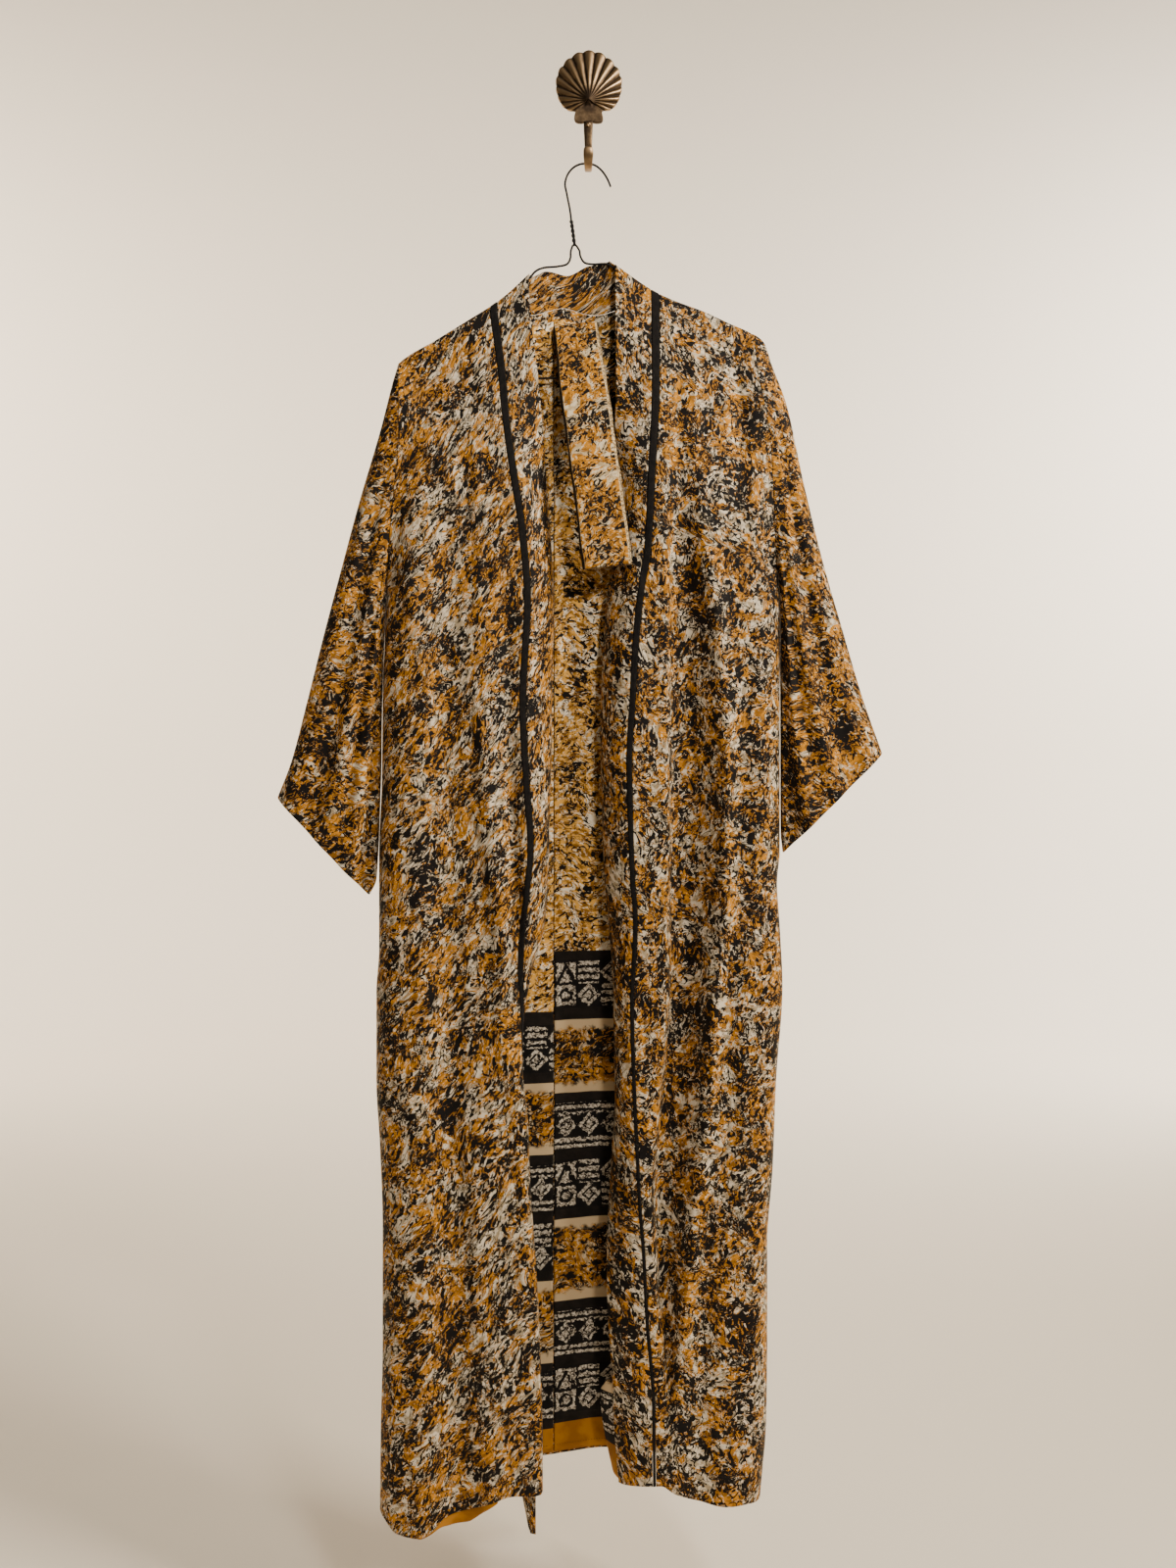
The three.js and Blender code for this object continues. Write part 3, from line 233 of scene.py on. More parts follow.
def fold_sum(folds, x, z):
    """The folds added up: depth at this height times a bell across the fold's line."""
    total = np.zeros(np.shape(x))
    for rows in folds:
        line, width, depth = curve(rows, 1)(z), curve(rows, 2)(z), curve(rows, 3)(z)
        total += depth * bell(x - line, width)
    return total


# Creases, laid on: from x, z to x, z, half width, depth (plus stands out, minus falls in)
CREASES_LEFT = [
    (-196, -352, -120, -430, 9, -1.1), (-203, -372, -150, -470, 8, 1.2),
    (-120, -300, -112, -470, 7, 0.9), (-150, -320, -138, -560, 9, -1.0),
    (-128, -360, -104, -640, 7, -1.2), (-208, -560, -168, -700, 9, 1.3),
    (-214, -590, -176, -640, 7, -1.2), (-120, -640, -96, -900, 8, 1.1),
    (-168, -700, -160, -960, 10, 1.0), (-140, -760, -112, -1010, 8, -1.2),
    (-206, -820, -190, -1080, 10, -1.0), (-100, -900, -88, -1120, 7, 1.4),
    (-122, -960, -102, -1180, 8, -1.0), (-216, -1040, -182, -1190, 9, 1.1),
    (-92, -1080, -82, -1300, 7, -1.1), (-140, -1100, -128, -1380, 9, 1.2),
    (-170, -1180, -164, -1420, 10, -1.2), (-212, -1230, -204, -1480, 9, 1.0),
    (-110, -1240, -98, -1500, 8, -1.3), (-86, -1330, -76, -1560, 7, 1.2),
    (-215, -1420, -150, -1445, 8, -0.9), (-205, -1480, -120, -1470, 9, 0.9),
    (-190, -1530, -100, -1512, 8, -0.9), (-226, -1300, -180, -1330, 9, 0.8),
    (-130, -1410, -70, -1392, 8, 0.8), (-195, -930, -130, -905, 9, 0.7),
    (-150, -1250, -95, -1232, 8, -0.7),
]
CREASES_RIGHT = [
    (188, -318, 118, -352, 8, -1.3), (192, -345, 128, -420, 8, 1.3),
    (176, -330, 150, -520, 9, -1.2), (116, -300, 108, -470, 8, 1.0), (96, -300, 100, -420, 7, -0.9),
    (200, -470, 164, -560, 9, 1.2), (206, -560, 176, -640, 8, -1.1), (92, -420, 84, -640, 7, 0.9),
    (70, -520, 64, -760, 6, -0.8), (198, -660, 178, -860, 10, 1.0), (168, -640, 160, -900, 9, -1.1),
    (74, -780, 70, -1010, 6, 0.8), (205, -860, 190, -1050, 9, -1.0),
    (180, -960, 170, -1200, 10, 1.0), (62, -1040, 68, -1180, 6, -0.8),
    (150, -1000, 144, -1240, 9, -1.1), (198, -1080, 186, -1300, 9, 1.1),
    (102, -1180, 96, -1400, 8, 1.0), (176, -1260, 170, -1480, 10, -1.1),
    (144, -1330, 140, -1540, 9, 1.3), (190, -1400, 150, -1425, 8, -0.9),
    (192, -1480, 120, -1466, 9, 0.9), (176, -1530, 98, -1512, 8, -0.9),
    (112, -1440, 104, -1560, 8, 1.1), (188, -760, 150, -790, 9, 0.7),
    (196, -1180, 160, -1160, 9, 0.7),
]
CREASES_BACK = [
    (-196, -352, -110, -470, 11, -1.3), (-203, -380, -130, -560, 10, 1.3),
    (-90, -330, -60, -600, 12, 1.0), (178, -330, 96, -450, 11, -1.3),
    (190, -380, 128, -560, 10, 1.3), (60, -320, 40, -600, 12, -1.0), (0, -330, -8, -760, 13, 0.9),
    (-150, -620, -128, -980, 12, 1.2), (140, -640, 120, -1000, 12, -1.2),
    (-206, -760, -180, -1080, 11, -1.1), (196, -760, 172, -1100, 11, 1.1),
    (-80, -820, -84, -1220, 13, 1.2), (78, -860, 86, -1260, 13, -1.1),
    (-30, -960, -36, -1380, 12, -1.0), (20, -1040, 24, -1500, 12, 1.1),
    (-170, -1120, -160, -1500, 12, 1.3), (160, -1140, 150, -1520, 12, 1.3),
    (-216, -1300, -120, -1330, 10, -0.9), (-100, -1420, 20, -1440, 10, 0.8),
    (60, -1380, 180, -1400, 10, -0.9), (-200, -1500, -90, -1486, 9, 0.9),
    (-60, -1490, 60, -1500, 9, -0.8), (90, -1480, 186, -1492, 9, 0.9),
    (-190, -930, -90, -950, 11, 0.7), (60, -720, 180, -740, 11, 0.7),
    (-60, -640, 60, -655, 12, -0.6),
]


def crease_sum(creases, x, z):
    """The creases added up. Each is a bell across its line, uneven along it: it swells and fades as
    a quarter sine at both ends, with its line bowed and its depth varied by a slow wave."""
    total = np.zeros(np.shape(x))
    for i, (x1, z1, x2, z2, width, depth) in enumerate(creases):
        dx, dz = x2 - x1, z2 - z1
        length = math.hypot(dx, dz)
        along = ((x - x1) * dx + (z - z1) * dz) / length
        across = ((x - x1) * dz - (z - z1) * dx) / length
        s = np.clip(along / length, 0, 1)
        bow = 0.035 * length * np.sin(math.pi * s + i)
        uneven = 0.75 + 0.25 * np.sin(along / 19 + 2.3 * i)
        ends = smooth((along + 0.12 * length) / (0.3 * length))
        ends = ends * smooth((1.12 * length - along) / (0.3 * length))
        total += CREASE_GAIN * depth * uneven * ends * bell(across - bow, width * (1 - 0.25 * s))
    return total


def pucker(x, z, seed):
    """Small unevenness of thin silk: four crossing waves of 15 to 50 mm, under half a millimetre."""
    return (
        0.22 * np.sin(x / 6.1 + z / 21 + seed)
        + 0.18 * np.sin(z / 8.3 - x / 13 + 2.1 * seed)
        + 0.16 * np.sin((x + 1.7 * z) / 10.7 + 0.7 * seed)
        + 0.14 * np.sin((x - 1.3 * z) / 4.9 + 1.9 * seed)
    )


# Deep pocket of the right front, by rows of z, inner, outer, depth
POCKET_ROWS = [
    (-400, 90, 120, 0), (-518, 86, 126, 8), (-573, 86, 134, 13), (-682, 86, 145, 17),
    (-791, 86, 149, 20), (-945, 85, 147, 22), (-998, 85, 138, 22), (-1094, 80, 132, 22),
    (-1164, 73, 127, 21), (-1255, 68, 116, 20), (-1332, 71, 109, 18), (-1408, 78, 101, 14),
    (-1475, 84, 94, 5), (-1510, 84, 94, 0),
]
POCKET_EDGE = 9
POCKET_FLOOR = 0.42
POCKET_RIDGE = 0.34
POCKET_RIDGE_WIDTH = 10
pocket_inner, pocket_outer, pocket_depth = (curve(POCKET_ROWS, i) for i in (1, 2, 3))


def pocket(x, z):
    """The cloth falls in over 9 mm past a sharp inner line, lies deep over 42% of the pocket's width,
    climbs again and stands out as a soft ridge 3 mm past the outer line."""
    inner, outer = pocket_inner(z), pocket_outer(z)
    across = (x - inner) / np.maximum(6, outer - inner)
    fall_in = smooth((x - inner) / POCKET_EDGE)
    climb = smooth((across - POCKET_FLOOR) / (1 - POCKET_FLOOR))
    ridge = POCKET_RIDGE * bell(x - outer - 3, POCKET_RIDGE_WIDTH)
    return pocket_depth(z) * (ridge - fall_in * (1 - climb))


def edge_fade(half, x, z):
    """0 at the side seam and the shoulder line, 1 from 30 mm and 78 mm inside them."""
    from_side = -half.sign * (x - half.side(z))
    return smooth(from_side / 30) * smooth((shoulder(x) - z - 8) / 70)


def crease_fade(half, x, z):
    """0 at the side seam, shoulder and hem seam lines, 1 from 12 mm inside them."""
    from_side = -half.sign * (x - half.side(z))
    return smooth(from_side / 12) * smooth((shoulder(x) - z - 3) / 20)


def front_y(half, x, z):
    if half is LEFT:
        folds, creases = fold_sum(FOLDS_LEFT, x, z), crease_sum(CREASES_LEFT, x, z)
    else:
        folds, creases = fold_sum(FOLDS_RIGHT, x, z) + pocket(x, z), crease_sum(CREASES_RIGHT, x, z)
    fine = (creases + pucker(x, z, half.sign)) * crease_fade(half, x, z)
    return HANG_Y - stand_out(half, fall_front, x, z) - folds * edge_fade(half, x, z) - fine


def back_y(x, z):
    on_left = x < -12
    out = np.where(on_left, stand_out(LEFT, fall_back, x, z), stand_out(RIGHT, fall_back, x, z))
    fade = np.where(on_left, edge_fade(LEFT, x, z), edge_fade(RIGHT, x, z))
    fine_fade = np.where(on_left, crease_fade(LEFT, x, z), crease_fade(RIGHT, x, z))
    fine = (crease_sum(CREASES_BACK, x, z) + pucker(x, z, 4)) * fine_fade
    return HANG_Y + out + fold_sum(FOLDS_BACK, x, z) * fade + fine


# Front opening: z, where the cloth starts to turn back, how far on the band seam lies, band width,
# and the angle in degrees that the cloth turns over 47 mm
OPENING_LEFT_ROWS = [
    (-225, -113, 3, 36, 0), (-267, -112, 3, 36, 0), (-315, -106, 3, 36, 8), (-345, -102, 3, 36, 13),
    (-388, -98, 3, 38, 26), (-453, -89, 3, 42, 56), (-518, -79, 3, 45, 72), (-594, -73, 3, 45, 76),
    (-709, -78, 3, 45, 70), (-791, -74, 3, 45, 82), (-866, -69, 3, 45, 104), (-921, -75, 4, 45, 92),
    (-952, -80, 5, 45, 84), (-1010, -84, 8, 45, 130), (-1048, -84, 12, 45, 190),
    (-1100, -82, 16, 45, 260), (-1166, -74, 18, 45, 330), (-1245, -70, 18, 45, 350),
    (-1329, -64, 18, 45, 350), (-1437, -59, 18, 45, 350), (-1522, -57, 18, 45, 350),
    (-1625, -57, 18, 45, 350),
]
OPENING_RIGHT_ROWS = [
    (-205, 82, 3, 40, 0), (-259, 82, 3, 40, 0), (-315, 82, 3, 40, 6), (-345, 82, 3, 40, 10),
    (-383, 81, 3, 41, 18), (-450, 77, 3, 43, 44), (-538, 72, 3, 45, 58), (-581, 65, 3, 45, 58),
    (-636, 59, 3, 45, 60), (-701, 55, 3, 45, 63), (-775, 51, 3, 45, 72), (-839, 52, 3, 45, 74),
    (-899, 54, 3, 45, 74), (-944, 57, 3, 45, 77), (-1042, 53, 3, 45, 108), (-1128, 55, 3, 45, 106),
    (-1194, 58, 3, 45, 87), (-1257, 61, 3, 45, 68), (-1307, 65, 3, 45, 47), (-1382, 69, 3, 45, 36),
    (-1472, 76, 3, 45, 30), (-1570, 77, 3, 45, 52),
]


def opening(half, hem, rows, pipe_top, pipe_low):
    start, seam, width, turn = (curve(rows, i) for i in (1, 2, 3, 4))
    pipe = curve([
        (-250, pipe_top), (-700, lerp(pipe_top, pipe_low, 0.4)), (-1300, pipe_low),
        (-1600, pipe_low),
    ])
    return SimpleNamespace(
        half=half, hem=hem, pipe=pipe, start=start, seam=seam, width=width, turn=turn,
    )


OPEN_LEFT = opening(LEFT, hem_front_left, OPENING_LEFT_ROWS, 8.4, 6.2)
OPEN_RIGHT = opening(RIGHT, hem_front_right, OPENING_RIGHT_ROWS, 9, 3.4)


def front_point(opened, across, along, share):
    """Point of a front at a share of the way from shoulder to hem. across runs from 0 at the side
    seam to 1 where the cloth starts to turn; past it, along(z) is the length along the cloth, which
    turns back on an arc up to the turn limit and then runs on straight. x and z settle together."""
    half = opened.half
    across, share = np.broadcast_arrays(np.asarray(across, float), np.asarray(share, float))
    x = np.full(across.shape, half.sign * 100.0)
    z = lerp(shoulder(x), opened.hem(x), share)
    for _ in range(SETTLE):
        start = opened.start(z)
        rate = np.maximum(np.radians(opened.turn(z)) / TURN_SPAN, 1e-5)
        length = np.where(across < 1, 0, along(z))
        bent = np.minimum(length, TURN_LIMIT / rate)
        angle = rate * bent
        rest = length - bent
        turned = start - half.sign * (np.sin(angle) / rate + rest * np.cos(angle))
        back = (1 - np.cos(angle)) / rate + rest * np.sin(angle)
        x = np.where(across < 1, lerp(half.side(z), start, across), turned)
        z = lerp(shoulder(x), opened.hem(x), share)
    return np.stack([x, front_y(half, x, z) + back - GAP / 2, z], -1)


# Neck seam of the back: x, drop below the shoulder line
NECK_LEFT_X = -112.0
NECK_RIGHT_X = 82.0
neck_drop = curve([
    (-112, 0), (-103, 8), (-68, 42), (-14, 84), (40, 40), (73, 12), (82, 0),
])


def back_body(across, share):
    """Point of the back: across from side seam to side seam, and a share of the way from the
    shoulder line, or the neck seam between the fronts, to the hem. x and z settle together."""
    across, share = np.broadcast_arrays(np.asarray(across, float), np.asarray(share, float))
    x = np.zeros(across.shape)
    z = lerp(-300, -1560, share)
    for _ in range(SETTLE + 8):
        on_left = lerp(side_left(z), LINING_SEAM_X, across / LINING_SEAM_SHARE)
        on_right = lerp(
            LINING_SEAM_X, side_right(z), (across - LINING_SEAM_SHARE) / (1 - LINING_SEAM_SHARE)
        )
        x = np.where(across <= LINING_SEAM_SHARE, on_left, on_right)
        drop = neck_drop(x) * ((x > NECK_LEFT_X) & (x < NECK_RIGHT_X))
        z = lerp(shoulder(x) - drop - GAP / 2 * np.clip(drop / 3, 0, 1), hem_back(x), share)
    return np.stack([x, back_y(x, z) + GAP / 2, z], -1)


# Free edge of the collar at the back neck: across, x, drop
EDGE_ROWS = [
    (0, -66, 0), (0.12, -62, 5), (0.3, -50, 15), (0.5, -22, 46), (0.7, 2, 24), (0.88, 18, 6),
    (1, 24, 0),
]
edge_x, edge_drop = curve(EDGE_ROWS, 1), curve(EDGE_ROWS, 2)


def collar_point(u, v):
    """The collar is ruled from its free edge, v = 0, to the neck seam, v = 1, at x = u."""
    across = (u - NECK_LEFT_X) / (NECK_RIGHT_X - NECK_LEFT_X)
    drop = neck_drop(u)
    seam_drop = drop - GAP / 2 * np.clip(drop / 3, 0, 1)
    x = lerp(edge_x(across), u + 0.35 * (1 - 2 * across), v)
    z = shoulder(x) - lerp(edge_drop(across), seam_drop, v)
    return np.stack([x, back_y(x, z) + GAP / 2, z], -1)


LINING_TOP = -300.0
LINING_LOW = -1543.0


def lining_point(half, u, level):
    """Point of the back at a lining row: level is the row's height at the middle. Near the top the
    rows follow neck and shoulder, lower down they lie level, and near the hem they run beside it."""
    z = np.broadcast_to(level, np.shape(u)).astype(float)
    x = np.zeros(z.shape)
    for _ in range(SETTLE):
        x = lerp(half.side(z), LINING_SEAM_X, u if half is LEFT else 1 - u)
        drop = neck_drop(x) * ((x > NECK_LEFT_X) & (x < NECK_RIGHT_X))
        top = shoulder(x) - drop - 13
        low = hem_back(x) + 3
        z = (
            level
            + (top - LINING_TOP) * smooth((level + 700) / 400)
            + (low - LINING_LOW) * np.clip((-900 - level) / 643, 0, 1)
        )
    return np.stack([x, back_y(x, z) + GAP / 2, z], -1)


# Sleeves: along, top fold x and z, under fold x and z
SLEEVE_LEFT_ROWS = [
    (0, -210.5, -328, -223.6, -578), (0.03, -212.6, -335, -224.3, -585),
    (0.08, -216, -346, -225.5, -606), (0.2, -231, -404, -228, -662),
    (0.35, -254, -482, -229.4, -722), (0.5, -275, -560, -229.9, -778),
    (0.65, -294, -632, -231.3, -824), (0.8, -312, -704, -233, -868),
    (0.92, -330, -772, -235.4, -902), (1, -345, -811, -243, -919),
]
SLEEVE_RIGHT_ROWS = [
    (0, 184.5, -296, 209, -550), (0.03, 191, -300.5, 210.4, -557), (0.06, 196, -306, 211.5, -574),
    (0.14, 205, -332, 212.9, -616), (0.25, 220, -372, 213.5, -662), (0.4, 240, -463, 213.8, -720),
    (0.55, 260, -545, 213.9, -770), (0.7, 282, -622, 214, -812), (0.85, 305, -700, 214.3, -848),
    (1, 327, -762, 216.5, -872),
]
# Folds of a sleeve, front and back: share down the sleeve at the armhole and at the cuff, half
# width, depth, and where along the sleeve it is deepest
SLEEVE_FOLDS = [
    (0.12, 0.2, 0.07, 2.2, 0.45), (0.3, 0.36, 0.06, -2.6, 0.6), (0.46, 0.5, 0.06, 2.6, 0.7),
    (0.62, 0.63, 0.05, -2.4, 0.75), (0.74, 0.78, 0.05, 2.0, 0.6), (0.9, 0.88, 0.05, -1.8, 0.7),
    (0.38, 0.28, 0.03, 1.2, 0.3), (0.7, 0.56, 0.03, -1.3, 0.35), (0.54, 0.42, 0.025, 1.0, 0.85),
    (0.2, 0.12, 0.03, -1.0, 0.8), (0.84, 0.7, 0.03, 1.2, 0.3),
]


def sleeve_point(half, rows):
    """A tube whose sections are superellipses between the top and the under fold. It starts on the
    armhole's curved edge, which fades out along it, and soft folds run down its length."""
    top_x, top_z, under_x, under_z = (curve(rows, i) for i in (1, 2, 3, 4))

    def point(u, v):
        angle = u * 2 * math.pi
        down = (1 - np.cos(angle)) / 2
        end = np.abs(np.cos(angle)) ** ARMHOLE_POWER
        round_side = np.maximum(0, 1 - end) ** (1 / ARMHOLE_POWER)
        depth = lerp(ARMHOLE_HALF, CUFF_HALF, smooth(v))
        z0 = lerp(half.tip_z, half.under_z, down)
        fade = (1 - v) ** 4
        rise = half.tip_z - top_z(0)
        dip = half.under_z - under_z(0)
        z = lerp(top_z(v) + rise * fade, under_z(v) + dip * fade, down)
        straight = lerp(top_x(0), under_x(0), down)
        bow = half.side(z0) + half.sign * GAP - straight
        x = lerp(top_x(v), under_x(v), down) + bow * fade
        wave = 2.6 * v * np.sin(down * 11 + 1) + 1.6 * v * np.sin(down * 19)
        front = np.where(np.sin(angle) < 0, 0.35, 0.0)
        for from_, to, width, deep, middle in SLEEVE_FOLDS:
            line = lerp(from_, to, v) + 0.01 * np.sin(9 * v + 20 * from_)
            along = smooth(v / 0.2) * bell(v - middle, 0.42)
            wave = wave + deep * along * bell(down - line + front / 9, width)
        wave = wave + pucker(x * 1.1, z, 2.7 * half.sign) * smooth(v / 0.1)
        y = HANG_Y - np.sign(np.sin(angle)) * (depth + wave) * round_side
        return np.stack([x, y, z], -1)

    return point


# Mesh builders
def lengths(line):
    """Length along a line of points from its start to each point."""
    return np.concatenate([[0], np.cumsum(np.linalg.norm(np.diff(line, axis=0), axis=1))])


def grid_faces(n, rows, closed=True):
    """Four-sided faces of a grid whose rows hold n points each, with each face's column and row."""
    i, j = np.meshgrid(np.arange(n if closed else n - 1), np.arange(rows - 1))
    i, j = i.ravel(), j.ravel()
    k = (i + 1) % n
    return np.stack([j * n + i, j * n + k, (j + 1) * n + k, (j + 1) * n + i], 1), i, j


def build(name, points, faces, materials, uvs, face_material=None):
    """A mesh object from points in mm, equal-sized faces, a dict of UV maps given for each face
    corner, and a material number for each face. A shell that came out inside out is turned."""
    points = np.asarray(points, float) / 1000
    corners = points[faces]
    fan = [np.einsum("ij,ij->i", corners[:, 0], np.cross(corners[:, k], corners[:, k + 1]))
           for k in range(1, faces.shape[1] - 1)]
    if sum(f.sum() for f in fan) < 0:
        faces = faces[:, ::-1]
        uvs = {key: value[:, ::-1] for key, value in uvs.items()}
    mesh = bpy.data.meshes.new(name)
    mesh.from_pydata(points.tolist(), [], faces.tolist())
    for key, value in uvs.items():
        layer = mesh.uv_layers.new(name=key)
        layer.data.foreach_set("uv", np.ascontiguousarray(value, np.float32).ravel())
    for material in materials:
        mesh.materials.append(material)
    if face_material is not None:
        mesh.polygons.foreach_set("material_index", np.asarray(face_material, np.int32))
    mesh.polygons.foreach_set("use_smooth", np.ones(len(faces), bool))
    mesh.update()
    made = bpy.data.objects.new(name, mesh)
    bpy.context.scene.collection.objects.link(made)
    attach(made, "root")
    return made


def unit(v):
    return v / np.maximum(np.linalg.norm(v, axis=-1, keepdims=True), 1e-12)


def wall(name, point, us, vs, thickness, materials, inset=0.0, wrap=False, turned=False,
         kinds=None, levels=None, start=(0, 0), step=(2e-4, 2e-4), round_edges=0.8, unrolled=None):
    """Thin closed shell on the surface point(u, v). The outer face is set in by inset along the
    normal, the inner face by the thickness more, and both close in on each other over the last
    0.8 mm to free edges. Where the cloth meets the hanger's plane its end wall lies in it. The UV
    map gives metres along the cloth, or what unrolled gives for the front and the back columns of a
    tube; kinds and levels give each row its material and band height."""
    us, vs = np.asarray(us, float), np.asarray(vs, float)
    u, v = np.meshgrid(us, vs)
    lo_v, hi_v = vs.min(), vs.max()

    def at(a, b):
        return point(a if wrap else np.clip(a, us[0], us[-1]), np.clip(b, lo_v, hi_v))

    here = at(u, v)
    du = at(u + step[0], v) - at(u - step[0], v)
    dv = at(u, v + step[1]) - at(u, v - step[1])
    normal = np.cross(du, dv) * (-1 if turned else 1)
    if wrap:
        normal[0, :, 0] = 0
    normal[np.abs(here[..., 1] - HANG_Y) < GAP, 1] = 0
    normal = unit(normal)

    across = np.linalg.norm(np.diff(here, axis=1), axis=2)
    down = np.linalg.norm(np.diff(here, axis=0), axis=2)
    run_u = np.concatenate([np.zeros((len(vs), 1)), np.cumsum(across, 1)], 1)
    run_v = np.concatenate([np.zeros((1, len(us))), np.cumsum(down, 0)], 0)
    from_edge = np.minimum(run_v, run_v[-1:] - run_v)
    if not wrap:
        from_edge = np.minimum(from_edge, np.minimum(run_u, run_u[:, -1:] - run_u))
    close_in = EDGE_CLOSE * thickness * (1 - round_off(from_edge / round_edges))
    outer = here - normal * (inset + close_in)[..., None]
    inner = here - normal * (inset + thickness - close_in)[..., None]
    points = np.concatenate([outer.reshape(-1, 3), inner.reshape(-1, 3)])

    nu, nv = len(us), len(vs)
    columns = nu if wrap else nu - 1
    skin, i, j = grid_faces(nu, nv, wrap)
    far = nu * nv
    faces = [skin, skin[:, ::-1] + far]
    side = np.arange(columns)
    side_on = (side + 1) % nu
    for row, forward in ((0, False), (nv - 1, True)):
        a, b = row * nu + side, row * nu + side_on
        ring = np.stack([a, b, b + far, a + far], 1)
        faces.append(ring if forward else ring[:, ::-1])
    rows_of = [j, j, np.zeros(columns, int), np.full(columns, nv - 2)]
    columns_of = np.concatenate([i, i, side, side])
    if not wrap:
        k = np.arange(nv - 1)
        for column, forward in ((0, True), (nu - 1, False)):
            a, b = k * nu + column, (k + 1) * nu + column
            ring = np.stack([a, b, b + far, a + far], 1)
            faces.append(ring if forward else ring[:, ::-1])
            rows_of.append(k)
    faces = np.concatenate(faces)
    rows_of = np.concatenate(rows_of)

    sign_u = -1 if here[nv // 2, -1, 0] < here[nv // 2, 0, 0] and not wrap else 1
    cloth_u = start[0] + sign_u * run_u / 1000
    cloth_v = start[1] - run_v / 1000
    flat = np.stack([cloth_u, cloth_v], -1).reshape(-1, 2)
    flat = np.concatenate([flat, flat])
    uvs = {"cloth": flat[faces]}
    if wrap:
        layers = [(m / 1000 + np.array(start)).reshape(-1, 2) for m in unrolled(here, u)]
        on_front, on_back = (np.concatenate([layer, layer])[faces] for layer in layers)
        uvs["cloth"] = np.where((us[columns_of] < 0.4999)[:, None, None], on_front, on_back)
    face_material = None
    if kinds is not None:
        face_material = np.asarray(kinds)[rows_of]
        height = np.asarray(levels)
        row_of_point = (faces % far) // nu
        local = np.where(
            row_of_point <= rows_of[:, None],
            height[rows_of, 0][:, None], height[rows_of, 1][:, None],
        )
        uvs["border"] = np.stack([uvs["cloth"][..., 0], local], -1)
    return build(name, points, faces, materials, uvs, face_material)


def loft(name, rings, materials, face_material=None):
    """A solid through closed rings with the same number of points, capped by small end rings."""
    rings = np.asarray(rings, float)
    count, n = rings.shape[:2]
    middle_first = rings[0].mean(0)
    middle_last = rings[-1].mean(0)
    rings = np.concatenate([
        (middle_first + (rings[0] - middle_first) * 1e-3)[None], rings,
        (middle_last + (rings[-1] - middle_last) * 1e-3)[None],
    ])
    count += 2
    faces, i, j = grid_faces(n, count)
    around = lengths(rings[count // 2])
    along = lengths(rings.mean(1))
    next_one = np.append(around, around[-1])[i + 1]
    wide = np.stack([around[i], next_one, next_one, around[i]], 1)
    long = np.stack([along[j], along[j], along[j + 1], along[j + 1]], 1)
    flat = np.stack([wide, -long], -1) / 1000
    if face_material is not None:
        face_material = np.asarray(face_material)[i]
    return build(name, rings.reshape(-1, 3), faces, materials, {"cloth": flat}, face_material)


def smooth_path(points, steps):
    """A centripetal Catmull-Rom line through the points, at even lengths."""
    p = np.asarray(points, float)
    p = np.concatenate([[2 * p[0] - p[1]], p, [2 * p[-1] - p[-2]]])
    knots = np.concatenate([[0], np.cumsum(np.sqrt(np.linalg.norm(np.diff(p, axis=0), axis=1)))])
    dense = np.linspace(knots[1], knots[-2], 60 * len(points))
    i = np.clip(np.searchsorted(knots, dense, side="right") - 1, 1, len(p) - 3)
    t = dense[:, None]
    k0, k1, k2, k3 = (knots[i + o][:, None] for o in (-1, 0, 1, 2))
    p0, p1, p2, p3 = (p[i + o] for o in (-1, 0, 1, 2))
    a1 = ((k1 - t) * p0 + (t - k0) * p1) / (k1 - k0)
    a2 = ((k2 - t) * p1 + (t - k1) * p2) / (k2 - k1)
    a3 = ((k3 - t) * p2 + (t - k2) * p3) / (k3 - k2)
    b1 = ((k2 - t) * a1 + (t - k0) * a2) / (k2 - k0)
    b2 = ((k3 - t) * a2 + (t - k1) * a3) / (k3 - k1)
    line = ((k2 - t) * b1 + (t - k1) * b2) / (k2 - k1)
    length = lengths(line)
    even = np.linspace(0, length[-1], steps + 1)
    return np.stack([np.interp(even, length, line[:, a]) for a in range(3)], 1)


def tube(name, line, radius, sides, materials):
    """A round bar: a circle carried along the line, square to it, with the hanger plane's normal as
    one axis of the section, and rounded over at both ends."""
    run = unit(np.gradient(line, axis=0))
    out = unit(np.array([0.0, 1.0, 0.0]) - run * run[:, 1:2])
    other = np.cross(run, out)
    angle = np.arange(sides) / sides * 2 * math.pi
    ring = out[:, None] * np.cos(angle)[:, None] + other[:, None] * np.sin(angle)[:, None]
    body = line[:, None] + ring * radius
    caps = [(0.35, 0.94), (0.7, 0.7), (0.93, 0.36)]
    head = [line[0] - radius * (run[0] * off - ring[0] * size) for off, size in reversed(caps)]
    tail = [line[-1] + radius * (run[-1] * off + ring[-1] * size) for off, size in caps]
    return loft(name, np.concatenate([head, body, tail]), materials)


# Materials
def colour(code):
    """An sRGB hex value turned to linear light."""
    parts = [int(code[i:i + 2], 16) / 255 for i in (1, 3, 5)]
    linear = [p / 12.92 if p <= 0.04045 else ((p + 0.055) / 1.055) ** 2.4 for p in parts]
    return (*linear, 1.0)


